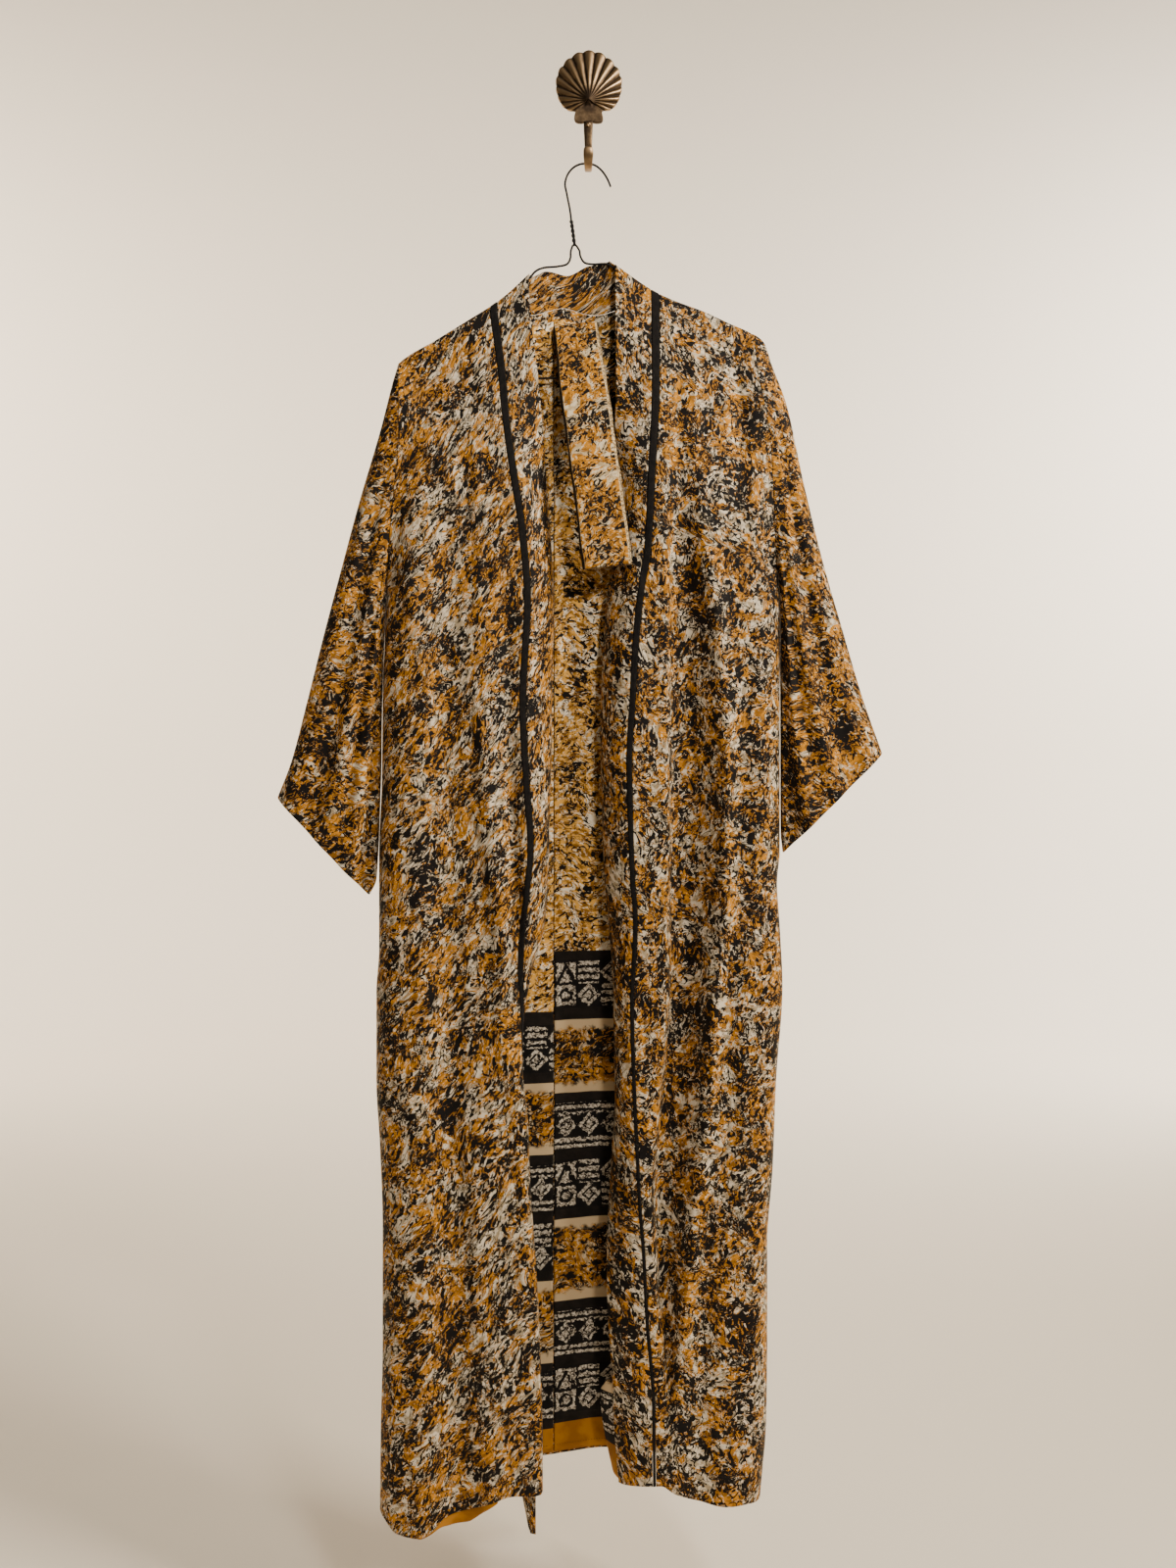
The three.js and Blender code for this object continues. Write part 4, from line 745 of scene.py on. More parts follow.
def node(tree, kind, inputs=None, **settings):
    """Adds a node with its own settings and its links or input values, and returns it. A formula
    such as ("ADD", a, b) stands for a Math node of that operation, as the kind or as an input."""
    if isinstance(kind, tuple):
        return node(tree, "Math", dict(enumerate(kind[1:])), operation=kind[0])
    made = tree.nodes.new("ShaderNode" + kind)
    for key, value in settings.items():
        setattr(made, key, value)
    for key, value in (inputs or {}).items():
        socket = made.inputs[key]
        if isinstance(value, tuple) and isinstance(value[0], str):
            value = node(tree, value)
        if isinstance(value, bpy.types.Node):
            value = value.outputs[0]
        if isinstance(value, bpy.types.NodeSocket):
            tree.links.new(value, socket)
        else:
            socket.default_value = value
    return made


def new_material(name, **constants):
    """A material with one Principled shader, whose constant sockets are set directly."""
    material = bpy.data.materials.new(name)
    material.use_nodes = True
    shader = material.node_tree.nodes["Principled BSDF"]
    for key, value in constants.items():
        shader.inputs[key.replace("_", " ")].default_value = value
    return material, material.node_tree, shader


def blend(tree, factor, a, b):
    """Mixes colour a towards colour b by the factor."""
    mixed = node(tree, "Mix", {0: factor, 6: a, 7: b}, data_type="RGBA")
    return mixed.outputs[2]


def step_up(tree, value, low, high):
    """0 below low, 1 above high, smooth between."""
    return node(
        tree, "MapRange", {"Value": value, "From Min": low, "From Max": high},
        interpolation_type="SMOOTHSTEP",
    )


def cloth_mm(tree, map_name="cloth"):
    """Position along the cloth in millimetres, from its UV map."""
    uv = node(tree, "UVMap", uv_map=map_name)
    return node(tree, "VectorMath", {0: uv, "Scale": 1000.0}, operation="SCALE")


def between(low, value, high):
    """The formula that is 1 where the value lies between low and high, and 0 elsewhere."""
    return ("MULTIPLY", ("LESS_THAN", low, value), ("LESS_THAN", value, high))


# Colours of the print: grey-beige ground, mustard, brown and black
GROUND_LIGHT = "#dccfb7"
GROUND_DARK = "#a39275"
MUSTARD = "#c3831c"
MUSTARD_DEEP = "#8d5c14"
BROWN = "#35261a"
INK = "#0d0a0a"
# Heights of the noises at which a colour begins and covers fully
MUSTARD_FROM, MUSTARD_FULL = 0.615, 0.631
BROWN_FROM, BROWN_FULL = 0.708, 0.716
INK_FROM, INK_FULL = 0.712, 0.721


def splatter(tree, mm, more_mustard=0.0, more_ink=0.0, stroke=50.0, ground=GROUND_LIGHT,
             ground_dark=GROUND_DARK, mustard=MUSTARD):
    """An all-over brushed print on a pale ground, from noises of the sizes given in mm. A slow flow
    bends the strokes. Mustard patches of 14 mm are broken up at 3 mm, black flecks of 5 mm and thin
    veins of 9.5 mm gather in clusters of 34 mm, and brown shows as a thin rim round the black."""
    flow = node(tree, "TexNoise", {"Vector": mm, "Scale": 1 / 60}, noise_dimensions="2D")
    centred = node(tree, "VectorMath", {0: flow.outputs["Color"], 1: (0.5, 0.5, 0.5)},
                   operation="SUBTRACT")
    push = node(tree, "VectorMath", {0: centred, "Scale": 26.0}, operation="SCALE")
    bent = node(tree, "VectorMath", {0: mm, 1: push}, operation="ADD")
    along, wide = (
        node(tree, "Mapping", {
            "Vector": bent, "Rotation": (0, 0, math.radians(slant)), "Scale": (longer, 1.0, 1.0),
        }, vector_type="TEXTURE")
        for slant, longer in ((stroke, 1.5), (stroke * 0.6, 1.35))
    )
    clusters, flecks, veins, patches, breaks, tone, slow = (
        node(tree, "TexNoise", {
            "Vector": place, "Scale": 1 / size, "Detail": detail, "Roughness": rough,
            "Distortion": bend,
        }, noise_dimensions="2D")
        for place, size, detail, rough, bend in (
            (bent, 34, 4.0, 0.62, 0.0), (along, 5.0, 3.0, 0.66, 1.0), (along, 9.5, 3.0, 0.64, 1.3),
            (wide, 14.0, 5.0, 0.74, 0.6), (along, 3.0, 3.0, 0.7, 0.3), (wide, 6, 3.0, 0.5, 0.0),
            (bent, 80, 2.0, 0.5, 0.0),
        )
    )

    base = blend(tree, step_up(tree, tone, 0.42, 0.62), colour(ground), colour(ground_dark))
    patch = ("ADD", patches, ("MULTIPLY", slow, 0.28))
    patch_mask = step_up(tree, patch, MUSTARD_FROM - more_mustard, MUSTARD_FULL - more_mustard)
    broken = step_up(tree, breaks, 0.37, 0.4)
    gold = blend(tree, step_up(tree, tone, 0.4, 0.62), colour(mustard), colour(MUSTARD_DEEP))
    with_gold = blend(tree, ("MULTIPLY", patch_mask, broken), base, gold)

    thin = ("MULTIPLY", ("ABSOLUTE", ("SUBTRACT", veins, 0.5)), -1.6)
    strokes = ("MAXIMUM", flecks, ("ADD", thin, 0.545))
    ink = node(tree, ("ADD", strokes, ("MULTIPLY", clusters, 0.4)))
    brown_mask = step_up(tree, ink, BROWN_FROM - more_ink, BROWN_FULL - more_ink)
    with_brown = blend(tree, brown_mask, with_gold, colour(BROWN))
    ink_mask = step_up(tree, ink, INK_FROM - more_ink, INK_FULL - more_ink)
    return blend(tree, ink_mask, with_brown, colour(INK))


def crepe_relief(tree, mm, height=0.12):
    """The crinkle of silk crepe, drawn at 1.6 mm because its real 0.4 mm wouldn't show."""
    crinkle, soft = (
        node(tree, "TexNoise", {
            "Vector": mm, "Scale": 1 / size, "Detail": detail, "Roughness": rough,
        }, noise_dimensions="2D")
        for size, detail, rough in ((1.6, 3.0, 0.6), (9, 2.0, 0.5))
    )
    mixed = ("ADD", ("MULTIPLY", crinkle, 0.5), soft)
    return node(tree, "Bump", {"Height": mixed, "Strength": height, "Distance": 0.002})


CREPE = {
    "Roughness": 0.72, "IOR": 1.5, "Sheen_Weight": 0.06, "Sheen_Roughness": 0.45,
    "Specular_IOR_Level": 0.16,
}


def printed_silk(name, **print_settings):
    """Printed silk crepe: woven and screen printed. It looks matte with a faint soft sheen where
    folds turn, and the print carries the colour."""
    material, tree, shader = new_material(name, **CREPE)
    shader.inputs["Sheen Tint"].default_value = colour("#e8d9bd")
    mm = cloth_mm(tree)
    tree.links.new(splatter(tree, mm, **print_settings), shader.inputs["Base Color"])
    tree.links.new(crepe_relief(tree, mm).outputs[0], shader.inputs["Normal"])
    return material


def plain_silk(name, light, dark, size=14.0, roughness=0.8, height=0.14):
    """Plain dyed cloth: two close shades that drift over the size given, and a fine crinkle."""
    material, tree, shader = new_material(
        name, Roughness=roughness, IOR=1.5, Sheen_Weight=0.04, Sheen_Roughness=0.5,
        Specular_IOR_Level=0.15,
    )
    mm = cloth_mm(tree)
    drift = node(tree, "TexNoise", {"Vector": mm, "Scale": 1 / size, "Detail": 3.0},
                 noise_dimensions="2D")
    tree.links.new(
        blend(tree, step_up(tree, drift, 0.35, 0.65), colour(light), colour(dark)),
        shader.inputs["Base Color"],
    )
    tree.links.new(crepe_relief(tree, mm, height).outputs[0], shader.inputs["Normal"])
    return material


def pale_edged_silk(name):
    """Lining print between two border bands: the splatter thins out to bare ground at both edges."""
    material, tree, shader = new_material(name, **CREPE)
    mm = cloth_mm(tree)
    splash = splatter(tree, mm, more_mustard=0.04, more_ink=-0.01, stroke=20, ground="#dac4a0",
                      ground_dark="#b0956c")
    border = node(tree, "SeparateXYZ", {0: node(tree, "UVMap", uv_map="border")})
    edge = ("ABSOLUTE", ("SUBTRACT", border.outputs[1], 0.5))
    ragged = node(tree, "TexNoise", {"Vector": mm, "Scale": 1 / 9, "Detail": 3.0},
                  noise_dimensions="2D")
    pale = step_up(tree, ("ADD", edge, ("MULTIPLY", ragged, 0.16)), 0.43, 0.5)
    tree.links.new(blend(tree, pale, splash, colour("#c9b08a")), shader.inputs["Base Color"])
    tree.links.new(crepe_relief(tree, mm).outputs[0], shader.inputs["Normal"])
    return material


MOTIF_CELL = 26.0


def motif_silk(name, lined):
    """Border band of brushed off-white shapes on black, a generic design in two rows of cells of
    26 mm: a ring on a pale block, a lozenge, a triangle on a pale block and level bars take turns.
    Where lined, level stripes run above and below one row of lozenges. The edges wander by about a
    millimetre and thin black scratches cross the pale parts, as a dry brush leaves them."""
    material, tree, shader = new_material(
        name, Roughness=0.74, IOR=1.5, Sheen_Weight=0.04, Sheen_Roughness=0.5,
        Specular_IOR_Level=0.15,
    )

    cloth = cloth_mm(tree)
    wander, dry, scratch = (
        node(tree, "TexNoise", {
            "Vector": cloth, "Scale": 1 / size, "Detail": 3.0, "Roughness": rough,
            "Distortion": bend,
        }, noise_dimensions="2D")
        for size, rough, bend in ((5, 0.5, 0.0), (3.2, 0.7, 0.0), (9, 0.5, 1.2))
    )
    part = node(tree, "SeparateXYZ", {0: cloth_mm(tree, "border")})
    shake = node(tree, ("MULTIPLY", ("SUBTRACT", wander, 0.5), 0.26))
    across = node(tree, ("ADD", ("DIVIDE", part.outputs[0], MOTIF_CELL), 0.3))
    x = node(tree, ("ADD", ("SUBTRACT", ("FRACT", across), 0.5), shake))
    ax = node(tree, ("ABSOLUTE", x))
    inner = node(tree, ("DIVIDE", ("SUBTRACT", ("MULTIPLY", part.outputs[1], 0.001), 0.03), 0.94))
    within = ("LESS_THAN", ("ABSOLUTE", ("SUBTRACT", inner, 0.5)), 0.5)
    if lined:
        ay = node(tree, ("ABSOLUTE", ("ADD", ("SUBTRACT", inner, 0.5), shake)))
        lozenge = node(tree, ("ADD", ax, ("MULTIPLY", ay, 1.9)))
        middle = node(tree, ("LESS_THAN", ay, 0.25))
        level = ("MULTIPLY", ("ADD", inner, ("MULTIPLY", shake, 0.4)), 7.0)
        stripes = ("MULTIPLY", ("LESS_THAN", ("FRACT", level), 0.56), ("SUBTRACT", 1.0, middle))
        nested = ("MAXIMUM", ("LESS_THAN", lozenge, 0.2), between(0.3, lozenge, 0.46))
        pale = ("MAXIMUM", stripes, ("MULTIPLY", middle, nested))
    else:
        rows = node(tree, ("MULTIPLY", inner, 2.0))
        y = node(tree, ("ADD", ("SUBTRACT", ("FRACT", rows), 0.5), shake))
        ay = node(tree, ("ABSOLUTE", y))
        cell = ("ADD", ("MULTIPLY", ("FLOOR", across), 0.375), ("MULTIPLY", ("FLOOR", rows), 0.6))
        turn = node(tree, ("FRACT", cell))
        block = node(tree, ("LESS_THAN", ("MAXIMUM", ax, ay), 0.43))
        disc = node(tree, ("SQRT", ("ADD", ("MULTIPLY", x, x), ("MULTIPLY", y, y))))
        lozenge = node(tree, ("ADD", ax, ay))
        slope = node(tree, ("ADD", ax, ("MULTIPLY", y, 0.5)))
        ringed = ("MULTIPLY", block, ("SUBTRACT", 1.0, between(0.17, disc, 0.31)))
        nested = ("MAXIMUM", ("LESS_THAN", lozenge, 0.2), between(0.31, lozenge, 0.52))
        pointed = ("MULTIPLY", block, ("SUBTRACT", 1.0, between(0.07, slope, 0.23)))
        bars = ("LESS_THAN", ("FRACT", ("MULTIPLY", y, 3.2)), 0.6)
        barred = ("MULTIPLY", bars, ("LESS_THAN", ax, 0.45))
        pale = 0.0
        for low, high, shape in (
            (-1.0, 0.2, ringed), (0.2, 0.45, nested), (0.45, 0.7, pointed), (0.7, 2.0, barred),
        ):
            pale = ("MAXIMUM", pale, ("MULTIPLY", between(low, turn, high), shape))
    unscratched = step_up(tree, ("ABSOLUTE", ("SUBTRACT", scratch, 0.5)), 0.012, 0.022)
    painted = ("MULTIPLY", ("MULTIPLY", pale, within), step_up(tree, dry, 0.38, 0.44))
    tone = blend(tree, step_up(tree, dry, 0.45, 0.62), colour("#9d9384"), colour("#e2d8c6"))
    brushed = blend(tree, ("MULTIPLY", painted, unscratched), colour("#0f0d0d"), tone)
    tree.links.new(brushed, shader.inputs["Base Color"])
    tree.links.new(crepe_relief(tree, cloth).outputs[0], shader.inputs["Normal"])
    return material


def drawn_wire(name):
    """Black-enamelled steel wire: a thin dark coat, nearly matte, rubbed a little in places."""
    material, tree, shader = new_material(name, Metallic=0.0, IOR=1.5, Specular_IOR_Level=0.2)
    place = node(tree, "TexCoord").outputs["Object"]
    rub = node(tree, "TexNoise", {"Vector": place, "Scale": 160.0, "Detail": 3.0})
    tree.links.new(
        blend(tree, step_up(tree, rub, 0.5, 0.75), colour("#08080a"), colour("#1c1a19")),
        shader.inputs["Base Color"],
    )
    tree.links.new(
        node(tree, "MapRange", {"Value": rub, "To Min": 0.5, "To Max": 0.7}).outputs[0],
        shader.inputs["Roughness"],
    )
    return material


def aged_brass(name):
    """Cast brass, darkened with age: dull brown in the grooves, and warm and brighter where hands
    have rubbed the ribs and edges."""
    material, tree, shader = new_material(name, Metallic=1.0)
    place = node(tree, "TexCoord").outputs["Object"]
    stain = node(tree, "TexNoise", {
        "Vector": place, "Scale": 90.0, "Detail": 4.0, "Roughness": 0.65,
    })
    worn = node(tree, "Attribute", attribute_name="wear")
    amount = node(tree, ("ADD", worn.outputs["Fac"], ("MULTIPLY", ("SUBTRACT", stain, 0.5), 0.9)))
    tree.links.new(
        blend(tree, step_up(tree, amount, 0.15, 0.85), colour("#3c3127"), colour("#9a8060")),
        shader.inputs["Base Color"],
    )
    tree.links.new(
        node(tree, "MapRange", {"Value": amount, "To Min": 0.55, "To Max": 0.3}).outputs[0],
        shader.inputs["Roughness"],
    )
    grain = node(tree, "TexNoise", {"Vector": place, "Scale": 900.0, "Detail": 2.0})
    tree.links.new(
        node(tree, "Bump", {"Height": grain, "Strength": 0.12, "Distance": 0.0005}).outputs[0],
        shader.inputs["Normal"],
    )
    return material


silk_left = printed_silk("printed_silk_crepe", stroke=52)
silk_right = printed_silk("printed_silk_crepe_right", stroke=60, more_ink=0.004)
silk_sleeve = printed_silk("printed_silk_crepe_sleeve", stroke=35, more_mustard=0.055,
                           more_ink=0.006)
silk_band = printed_silk("printed_silk_band", stroke=70, more_ink=0.004)
silk_back = printed_silk("printed_silk_crepe_back", stroke=45)
silk_sash = printed_silk("printed_silk_sash", stroke=35, more_mustard=0.06, more_ink=-0.02,
                         ground="#dccbaa", ground_dark="#b59d74", mustard="#c4841f")
# The lining is printed paler than the fronts, with a lighter ground and mustard and less ink. This
# paleness is painted light that stands in for light falling inside the robe's opening.
silk_lining = printed_silk("printed_silk_lining", stroke=20, more_mustard=0.055, more_ink=-0.045,
                           ground="#fbf0da", ground_dark="#e2cfac", mustard="#e8b052")
lining_splash = pale_edged_silk("printed_silk_lining_panel")
lining_black = plain_silk("black_border_silk", "#15120f", "#1f1a17")
lining_motif = motif_silk("brushed_motif_silk", lined=False)
lining_lines = motif_silk("brushed_lines_silk", lined=True)
lining_gold = plain_silk("gold_hem_silk", "#a8701a", "#8f5c12", size=22)
piping_black = plain_silk("black_cotton_piping", "#0b0a0a", "#151211", size=6, roughness=0.86,
                          height=0.2)
sash_edge = plain_silk("folded_silk_edges", "#cdb68c", "#6a5233", size=2.4)
# The dark edge cloth is painted shade: it stands for the shade in the gaps between the sash's folded
# layers.
sash_shade = plain_silk("folded_silk_shaded_edges", "#33261a", "#120e0b", size=4)
stitch_thread = plain_silk("dark_sewing_thread", "#2a221b", "#3c3127", size=2)
gold_thread = plain_silk("gold_sewing_thread", "#4a2c08", "#5d390c", size=2)
hanger_wire = drawn_wire("black_enamelled_wire")
hook_brass = aged_brass("aged_cast_brass")


# Cloth pieces
def piece(made, nodes, area=None):
    """Hides the solids that the cloth stands for; made, the cloth, and area, the size it was cut to, are
    not used.
    """
    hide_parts(*nodes)


body_shares = np.unique(np.concatenate([
    [0, 0.0006, 0.0015, 0.003, 0.006, 0.011, 0.02, 0.035, 0.055],
    np.linspace(0.055, UNDERARM_SHARE, 44), np.linspace(UNDERARM_SHARE, 1, 280),
    [0.9994],
]))
side_columns = np.array([0, 0.002, 0.006, 0.013, 0.025, 0.045, 0.07])


def front_panel(name, opened, columns, material, start):
    seam_share = 0.9

    def point(u, v):
        across = np.minimum(u / seam_share, 1)
        past = np.clip((u - seam_share) / (1 - seam_share), 0, 1)
        return front_point(opened, across, lambda z: past * (opened.seam(z) - GAP / 2), v)

    us = np.concatenate([side_columns, np.linspace(0.09, 0.9, columns), [0.94, 0.975, 0.99, 1]])
    return wall(name, point, us, body_shares, CLOTH, [material], turned=opened.half is LEFT,
                start=start)


cloth_left = front_panel("silk_front_left", OPEN_LEFT, 56, silk_left, (0.35, 2.0))
piece(cloth_left, ["front_left"])
cloth_right = front_panel("silk_front_right", OPEN_RIGHT, 60, silk_right, (5.1, 7.3))
piece(cloth_right, ["front_right"])


def band_from(opened):
    return lambda z: opened.seam(z) + opened.pipe(z) + GAP / 2


def band_to(opened):
    return lambda z: opened.seam(z) + opened.pipe(z) + opened.width(z)


def strip_point(opened, from_, to, longer=0.0):
    """Point between two lengths past the turn line: u from the seam side to the free side. Past
    share 1 the end runs on, full length up to u = 0.154 and then ever less, so it hangs in a point
    at the seam side."""
    def point(u, v):
        below = 1 + longer * np.clip(1.7 - u / 0.22, 0.02, 1) * np.clip(v - 1, 0, 1)
        share = np.where(v <= 1, v, below)
        return front_point(opened, 1.0, lambda z: lerp(from_(z), to(z), u), share)

    return point


BAND_LEFT_LONGER = 0.036
band_columns = spread(0, 1, 16, (0.008, 0.02))
for side, opened, longer, start, piping_area in (
    ("left", OPEN_LEFT, BAND_LEFT_LONGER, (9.2, 3.0), 0.0096),
    ("right", OPEN_RIGHT, 0.0, (11.4, 8.6), 0.0075),
):
    turned = opened.half is LEFT
    seam_from = lambda z: opened.seam(z) + GAP / 2
    seam_to = lambda z: opened.seam(z) + opened.pipe(z) - GAP / 2
    rows = np.concatenate([body_shares, [1.25, 1.5, 1.75, 2]]) if longer else body_shares
    strip = wall("piping_strip_" + side, strip_point(opened, seam_from, seam_to),
                 spread(0, 1, 6, (0.06,)), body_shares, BAND_CLOTH, [piping_black], inset=-0.25,
                 turned=turned, start=start)
    piece(strip, ["piping_" + side],
          area=piping_area)
    shape = strip_point(opened, band_from(opened), band_to(opened), longer)
    band = wall("silk_band_" + side, shape, band_columns, rows, BAND_CLOTH, [silk_band],
                turned=turned, start=start)
    piece(band, ["band_" + side])


def ridge_share(x):
    left, right = side_left(0), side_right(0)
    return np.where(
        x < LINING_SEAM_X,
        LINING_SEAM_SHARE * (x - left) / (LINING_SEAM_X - left),
        LINING_SEAM_SHARE + (1 - LINING_SEAM_SHARE) * (x - LINING_SEAM_X) / (right - LINING_SEAM_X),
    )


neck_columns = np.concatenate([
    [NECK_LEFT_X, -111.5, -110.5, -108], np.linspace(-105, 76, 44), [79, 80.5, 81.4, NECK_RIGHT_X],
])
back_columns = np.unique(np.concatenate([
    side_columns, np.linspace(0.09, ridge_share(NECK_LEFT_X), 10), ridge_share(neck_columns),
    np.linspace(ridge_share(NECK_RIGHT_X), 0.92, 14), 1 - side_columns / 1.5,
]))
back_rows = np.unique(np.concatenate([
    body_shares[body_shares < 0.2], np.linspace(0.2, 1, 240), [0.9994],
]))
cloth_back = wall("silk_back", back_body, back_columns, back_rows, CLOTH, [silk_back],
                  start=(14.0, 5.0))
piece(cloth_back, ["back"])
collar = wall("silk_collar_back", collar_point, neck_columns, spread(0, 1, 20, (0.006, 0.02)),
              BAND_CLOTH, [silk_band], start=(17.2, 2.4), step=(2e-2, 2e-4))
piece(collar, ["collar_back"])

# Border bands of the back lining, from the top: height of the band's lower end, and its cloth
SPLASH, PANEL, BLACK_BAND, MOTIF, LINES, GOLD = range(6)
LINING_CLOTHS = [silk_lining, lining_splash, lining_black, lining_motif, lining_lines, lining_gold]
BORDER_RIGHT = [
    (-983.5, SPLASH), (-993.5, BLACK_BAND), (-1047.5, MOTIF), (-1060.7, BLACK_BAND),
    (-1142.4, PANEL), (-1152.3, BLACK_BAND), (-1206.4, LINES), (-1217.4, BLACK_BAND),
    (-1272.5, MOTIF), (-1283.6, BLACK_BAND), (-1375.1, PANEL), (-1385.1, BLACK_BAND),
    (-1438, LINES), (-1449, BLACK_BAND), (-1500.9, MOTIF), (-1510.8, BLACK_BAND),
    (LINING_LOW, GOLD),
]
BORDER_LEFT = [
    (-1050.8, SPLASH), (-1065.2, BLACK_BAND), (-1118.1, MOTIF), (-1130.2, BLACK_BAND),
    (-1210, PANEL), (-1220.5, BLACK_BAND), (-1274, LINES), (-1285, BLACK_BAND), (-1340, MOTIF),
    (-1351, BLACK_BAND), (-1443, PANEL), (-1453, BLACK_BAND), (-1506, LINES), (-1516, BLACK_BAND),
    (LINING_LOW, GOLD),
]


def border_rows(border):
    """Row heights with one row on every band's edge, the cloth of each row, and each row's place in
    its band, 0 at the band's lower edge and 1 at its upper."""
    rows, kinds, levels = [LINING_TOP], [], []
    for low, kind in border:
        high = rows[-1]
        steps = max(2, round((high - low) / 6))
        inside = np.linspace(high, low, steps + 1)
        rows.extend(inside[1:])
        kinds.extend([kind] * steps)
        share = (inside - low) / (high - low)
        levels.extend(zip(share[:-1], share[1:]))
    return np.array(rows), kinds, levels


for side, half, border, us, start in (
    ("left", LEFT, BORDER_LEFT, [*np.linspace(0.06, 0.98, 34), 0.992, 0.9975], (19.0, 4.0)),
    ("right", RIGHT, BORDER_RIGHT, [0.0018, 0.006, *np.linspace(0.016, 0.965, 44)], (21.0, 6.0)),
):
    rows, kinds, levels = border_rows(border)
    cloth = wall("silk_back_lining_" + side, lambda u, v: lining_point(half, u, v), us, rows,
                 LINING_CLOTH, LINING_CLOTHS,
                 inset=CLOTH + GAP, kinds=kinds, levels=levels, start=start, step=(2e-4, -2e-2))
    piece(cloth, ["back_lining_" + side])

# Gold lining of the left front below its hem: share of the width, share below the hem
lower_by = curve([
    (0.24, 0.001), (0.33, 0.003), (0.42, 0.0095), (0.51, 0.0105), (0.6, 0.006), (0.69, 0.002),
])


def hem_lining_point(u, v):
    share = np.where(v <= 1, v, 1 + np.clip(v - 1, 0, 1) * lower_by(u))
    return front_point(OPEN_LEFT, np.asarray(u) / 0.9, lambda z: 0 * z, share)


hem_lining = wall(
    "gold_lining_left_hem", hem_lining_point, np.linspace(0.24, 0.69, 44),
    np.concatenate([np.linspace(0.93, 0.998, 22), [1, 1.25, 1.5, 1.75, 1.9, 2]]), LINING_CLOTH,
    [lining_gold], inset=CLOTH + GAP, turned=True, start=(23.0, 2.0),
)
piece(hem_lining, ["lining_left_hem"])

edge_rows, edge_kinds, edge_levels = [0.86], [], []
for low, kind in ((0.925, PANEL), (0.961, LINES), (0.969, BLACK_BAND), (0.998, GOLD)):
    inside = np.linspace(edge_rows[-1], low, 10 if kind != BLACK_BAND else 4)
    share = (low - inside) / (low - inside[0])
    edge_rows.extend(inside[1:])
    edge_kinds.extend([kind] * (len(inside) - 1))
    edge_levels.extend(zip(share[:-1], share[1:]))


def edge_lining_to(z):
    """The lining hides behind the band above 1440 mm and swings out past its free edge below."""
    out = lerp(0.86, 1.26, smooth((-1440 - z) / 30))
    return lerp(band_from(OPEN_RIGHT)(z), band_to(OPEN_RIGHT)(z), out)


edge_lining = wall(
    "silk_lining_right_edge", strip_point(OPEN_RIGHT, band_from(OPEN_RIGHT), edge_lining_to),
    spread(4 / 6, 1.16, 14, (0.008,)), edge_rows, LINING_CLOTH, LINING_CLOTHS, inset=BAND_CLOTH + GAP,
    kinds=edge_kinds, levels=edge_levels, start=(25.0, 3.0),
)
piece(edge_lining, ["lining_right_edge"])


def round_stations(half, steps):
    """Stations round a sleeve, from the top fold down the front and up the back, denser at the
    folds."""
    down = (1 - np.cos(np.linspace(0, math.pi, steps))) / 2
    down = np.unique(np.concatenate([down, [0.0006, 0.0025, 0.006, 0.994, 0.9975, 0.9994]]))
    front = np.arccos(1 - 2 * down) / (2 * math.pi)
    return np.concatenate([front, (1 - front[1:-1])[::-1]])


def sleeve_unrolled(here, u):
    """The sleeve laid out flat: across is the distance from the top fold square to the sleeve's run
    in the hanging plane, plus what the round edges add; along is the distance down the run. The
    back layer is the front's mirror image past the top fold."""
    top, under = here[:, 0], here[:, here.shape[1] // 2]
    run = unit((top[-1] - top[0])[[0, 2]])
    side_way = np.array([-run[1], run[0]])
    side_way = side_way * np.sign((under[-1] - top[-1])[[0, 2]] @ side_way)
    flat = here[..., [0, 2]]
    across, along = flat @ side_way, flat @ run
    fold = (top[:, [0, 2]] @ side_way)[:, None]
    deep = np.abs(here[..., 1] - HANG_Y)
    round_edge = deep.max(axis=1, keepdims=True) - deep
    down = (1 - np.cos(u * 2 * math.pi)) / 2
    across = across - fold + np.where(down < 0.5, -round_edge, round_edge)
    edge = -deep.max(axis=1, keepdims=True)
    front = np.stack([across + fold, -along], -1)
    back = np.stack([2 * edge - across + fold, -along], -1)
    return front, back


sleeve_rows = np.concatenate([[0, 0.0015, 0.004, 0.008, 0.014, 0.022], np.linspace(0.032, 1, 130)])
sleeve_rows = np.unique(np.concatenate([sleeve_rows, [0.9985]]))
for side, half, table, start, on in (
    ("left", LEFT, SLEEVE_LEFT_ROWS, (27.0, 1.0), "silk_front_left"),
    ("right", RIGHT, SLEEVE_RIGHT_ROWS, (29.0, 9.0), "silk_front_right"),
):
    shape = sleeve_point(half, table)
    around = round_stations(half, 62)
    cloth = wall("silk_sleeve_" + side, lambda u, v: shape(u % 1, v), around, sleeve_rows, CLOTH,
                 [silk_sleeve], wrap=True, turned=half is LEFT, start=start, unrolled=sleeve_unrolled)
    piece(cloth, ["sleeve_" + side])

# Sash, folded in six layers: along, x, y, z, half width
SASH_ROWS = [
    (0, -14.5, -34.9, -284, 24), (0.12, -10.5, -39, -316, 24.5), (0.22, -7, -43.5, -342, 25.5),
    (0.36, -2, -51, -380, 26), (0.55, 5, -58.5, -432, 26), (0.75, 12.5, -63, -487, 26),
    (0.9, 18, -64.5, -530, 26.5), (1, 21, -65, -559, 26),
]
SASH_LAYERS = (-2.2, 0.6, -1.0, 1.4, -0.6, 0.8)
SASH_LAYER = 1.3
SASH_HALF = 0.47


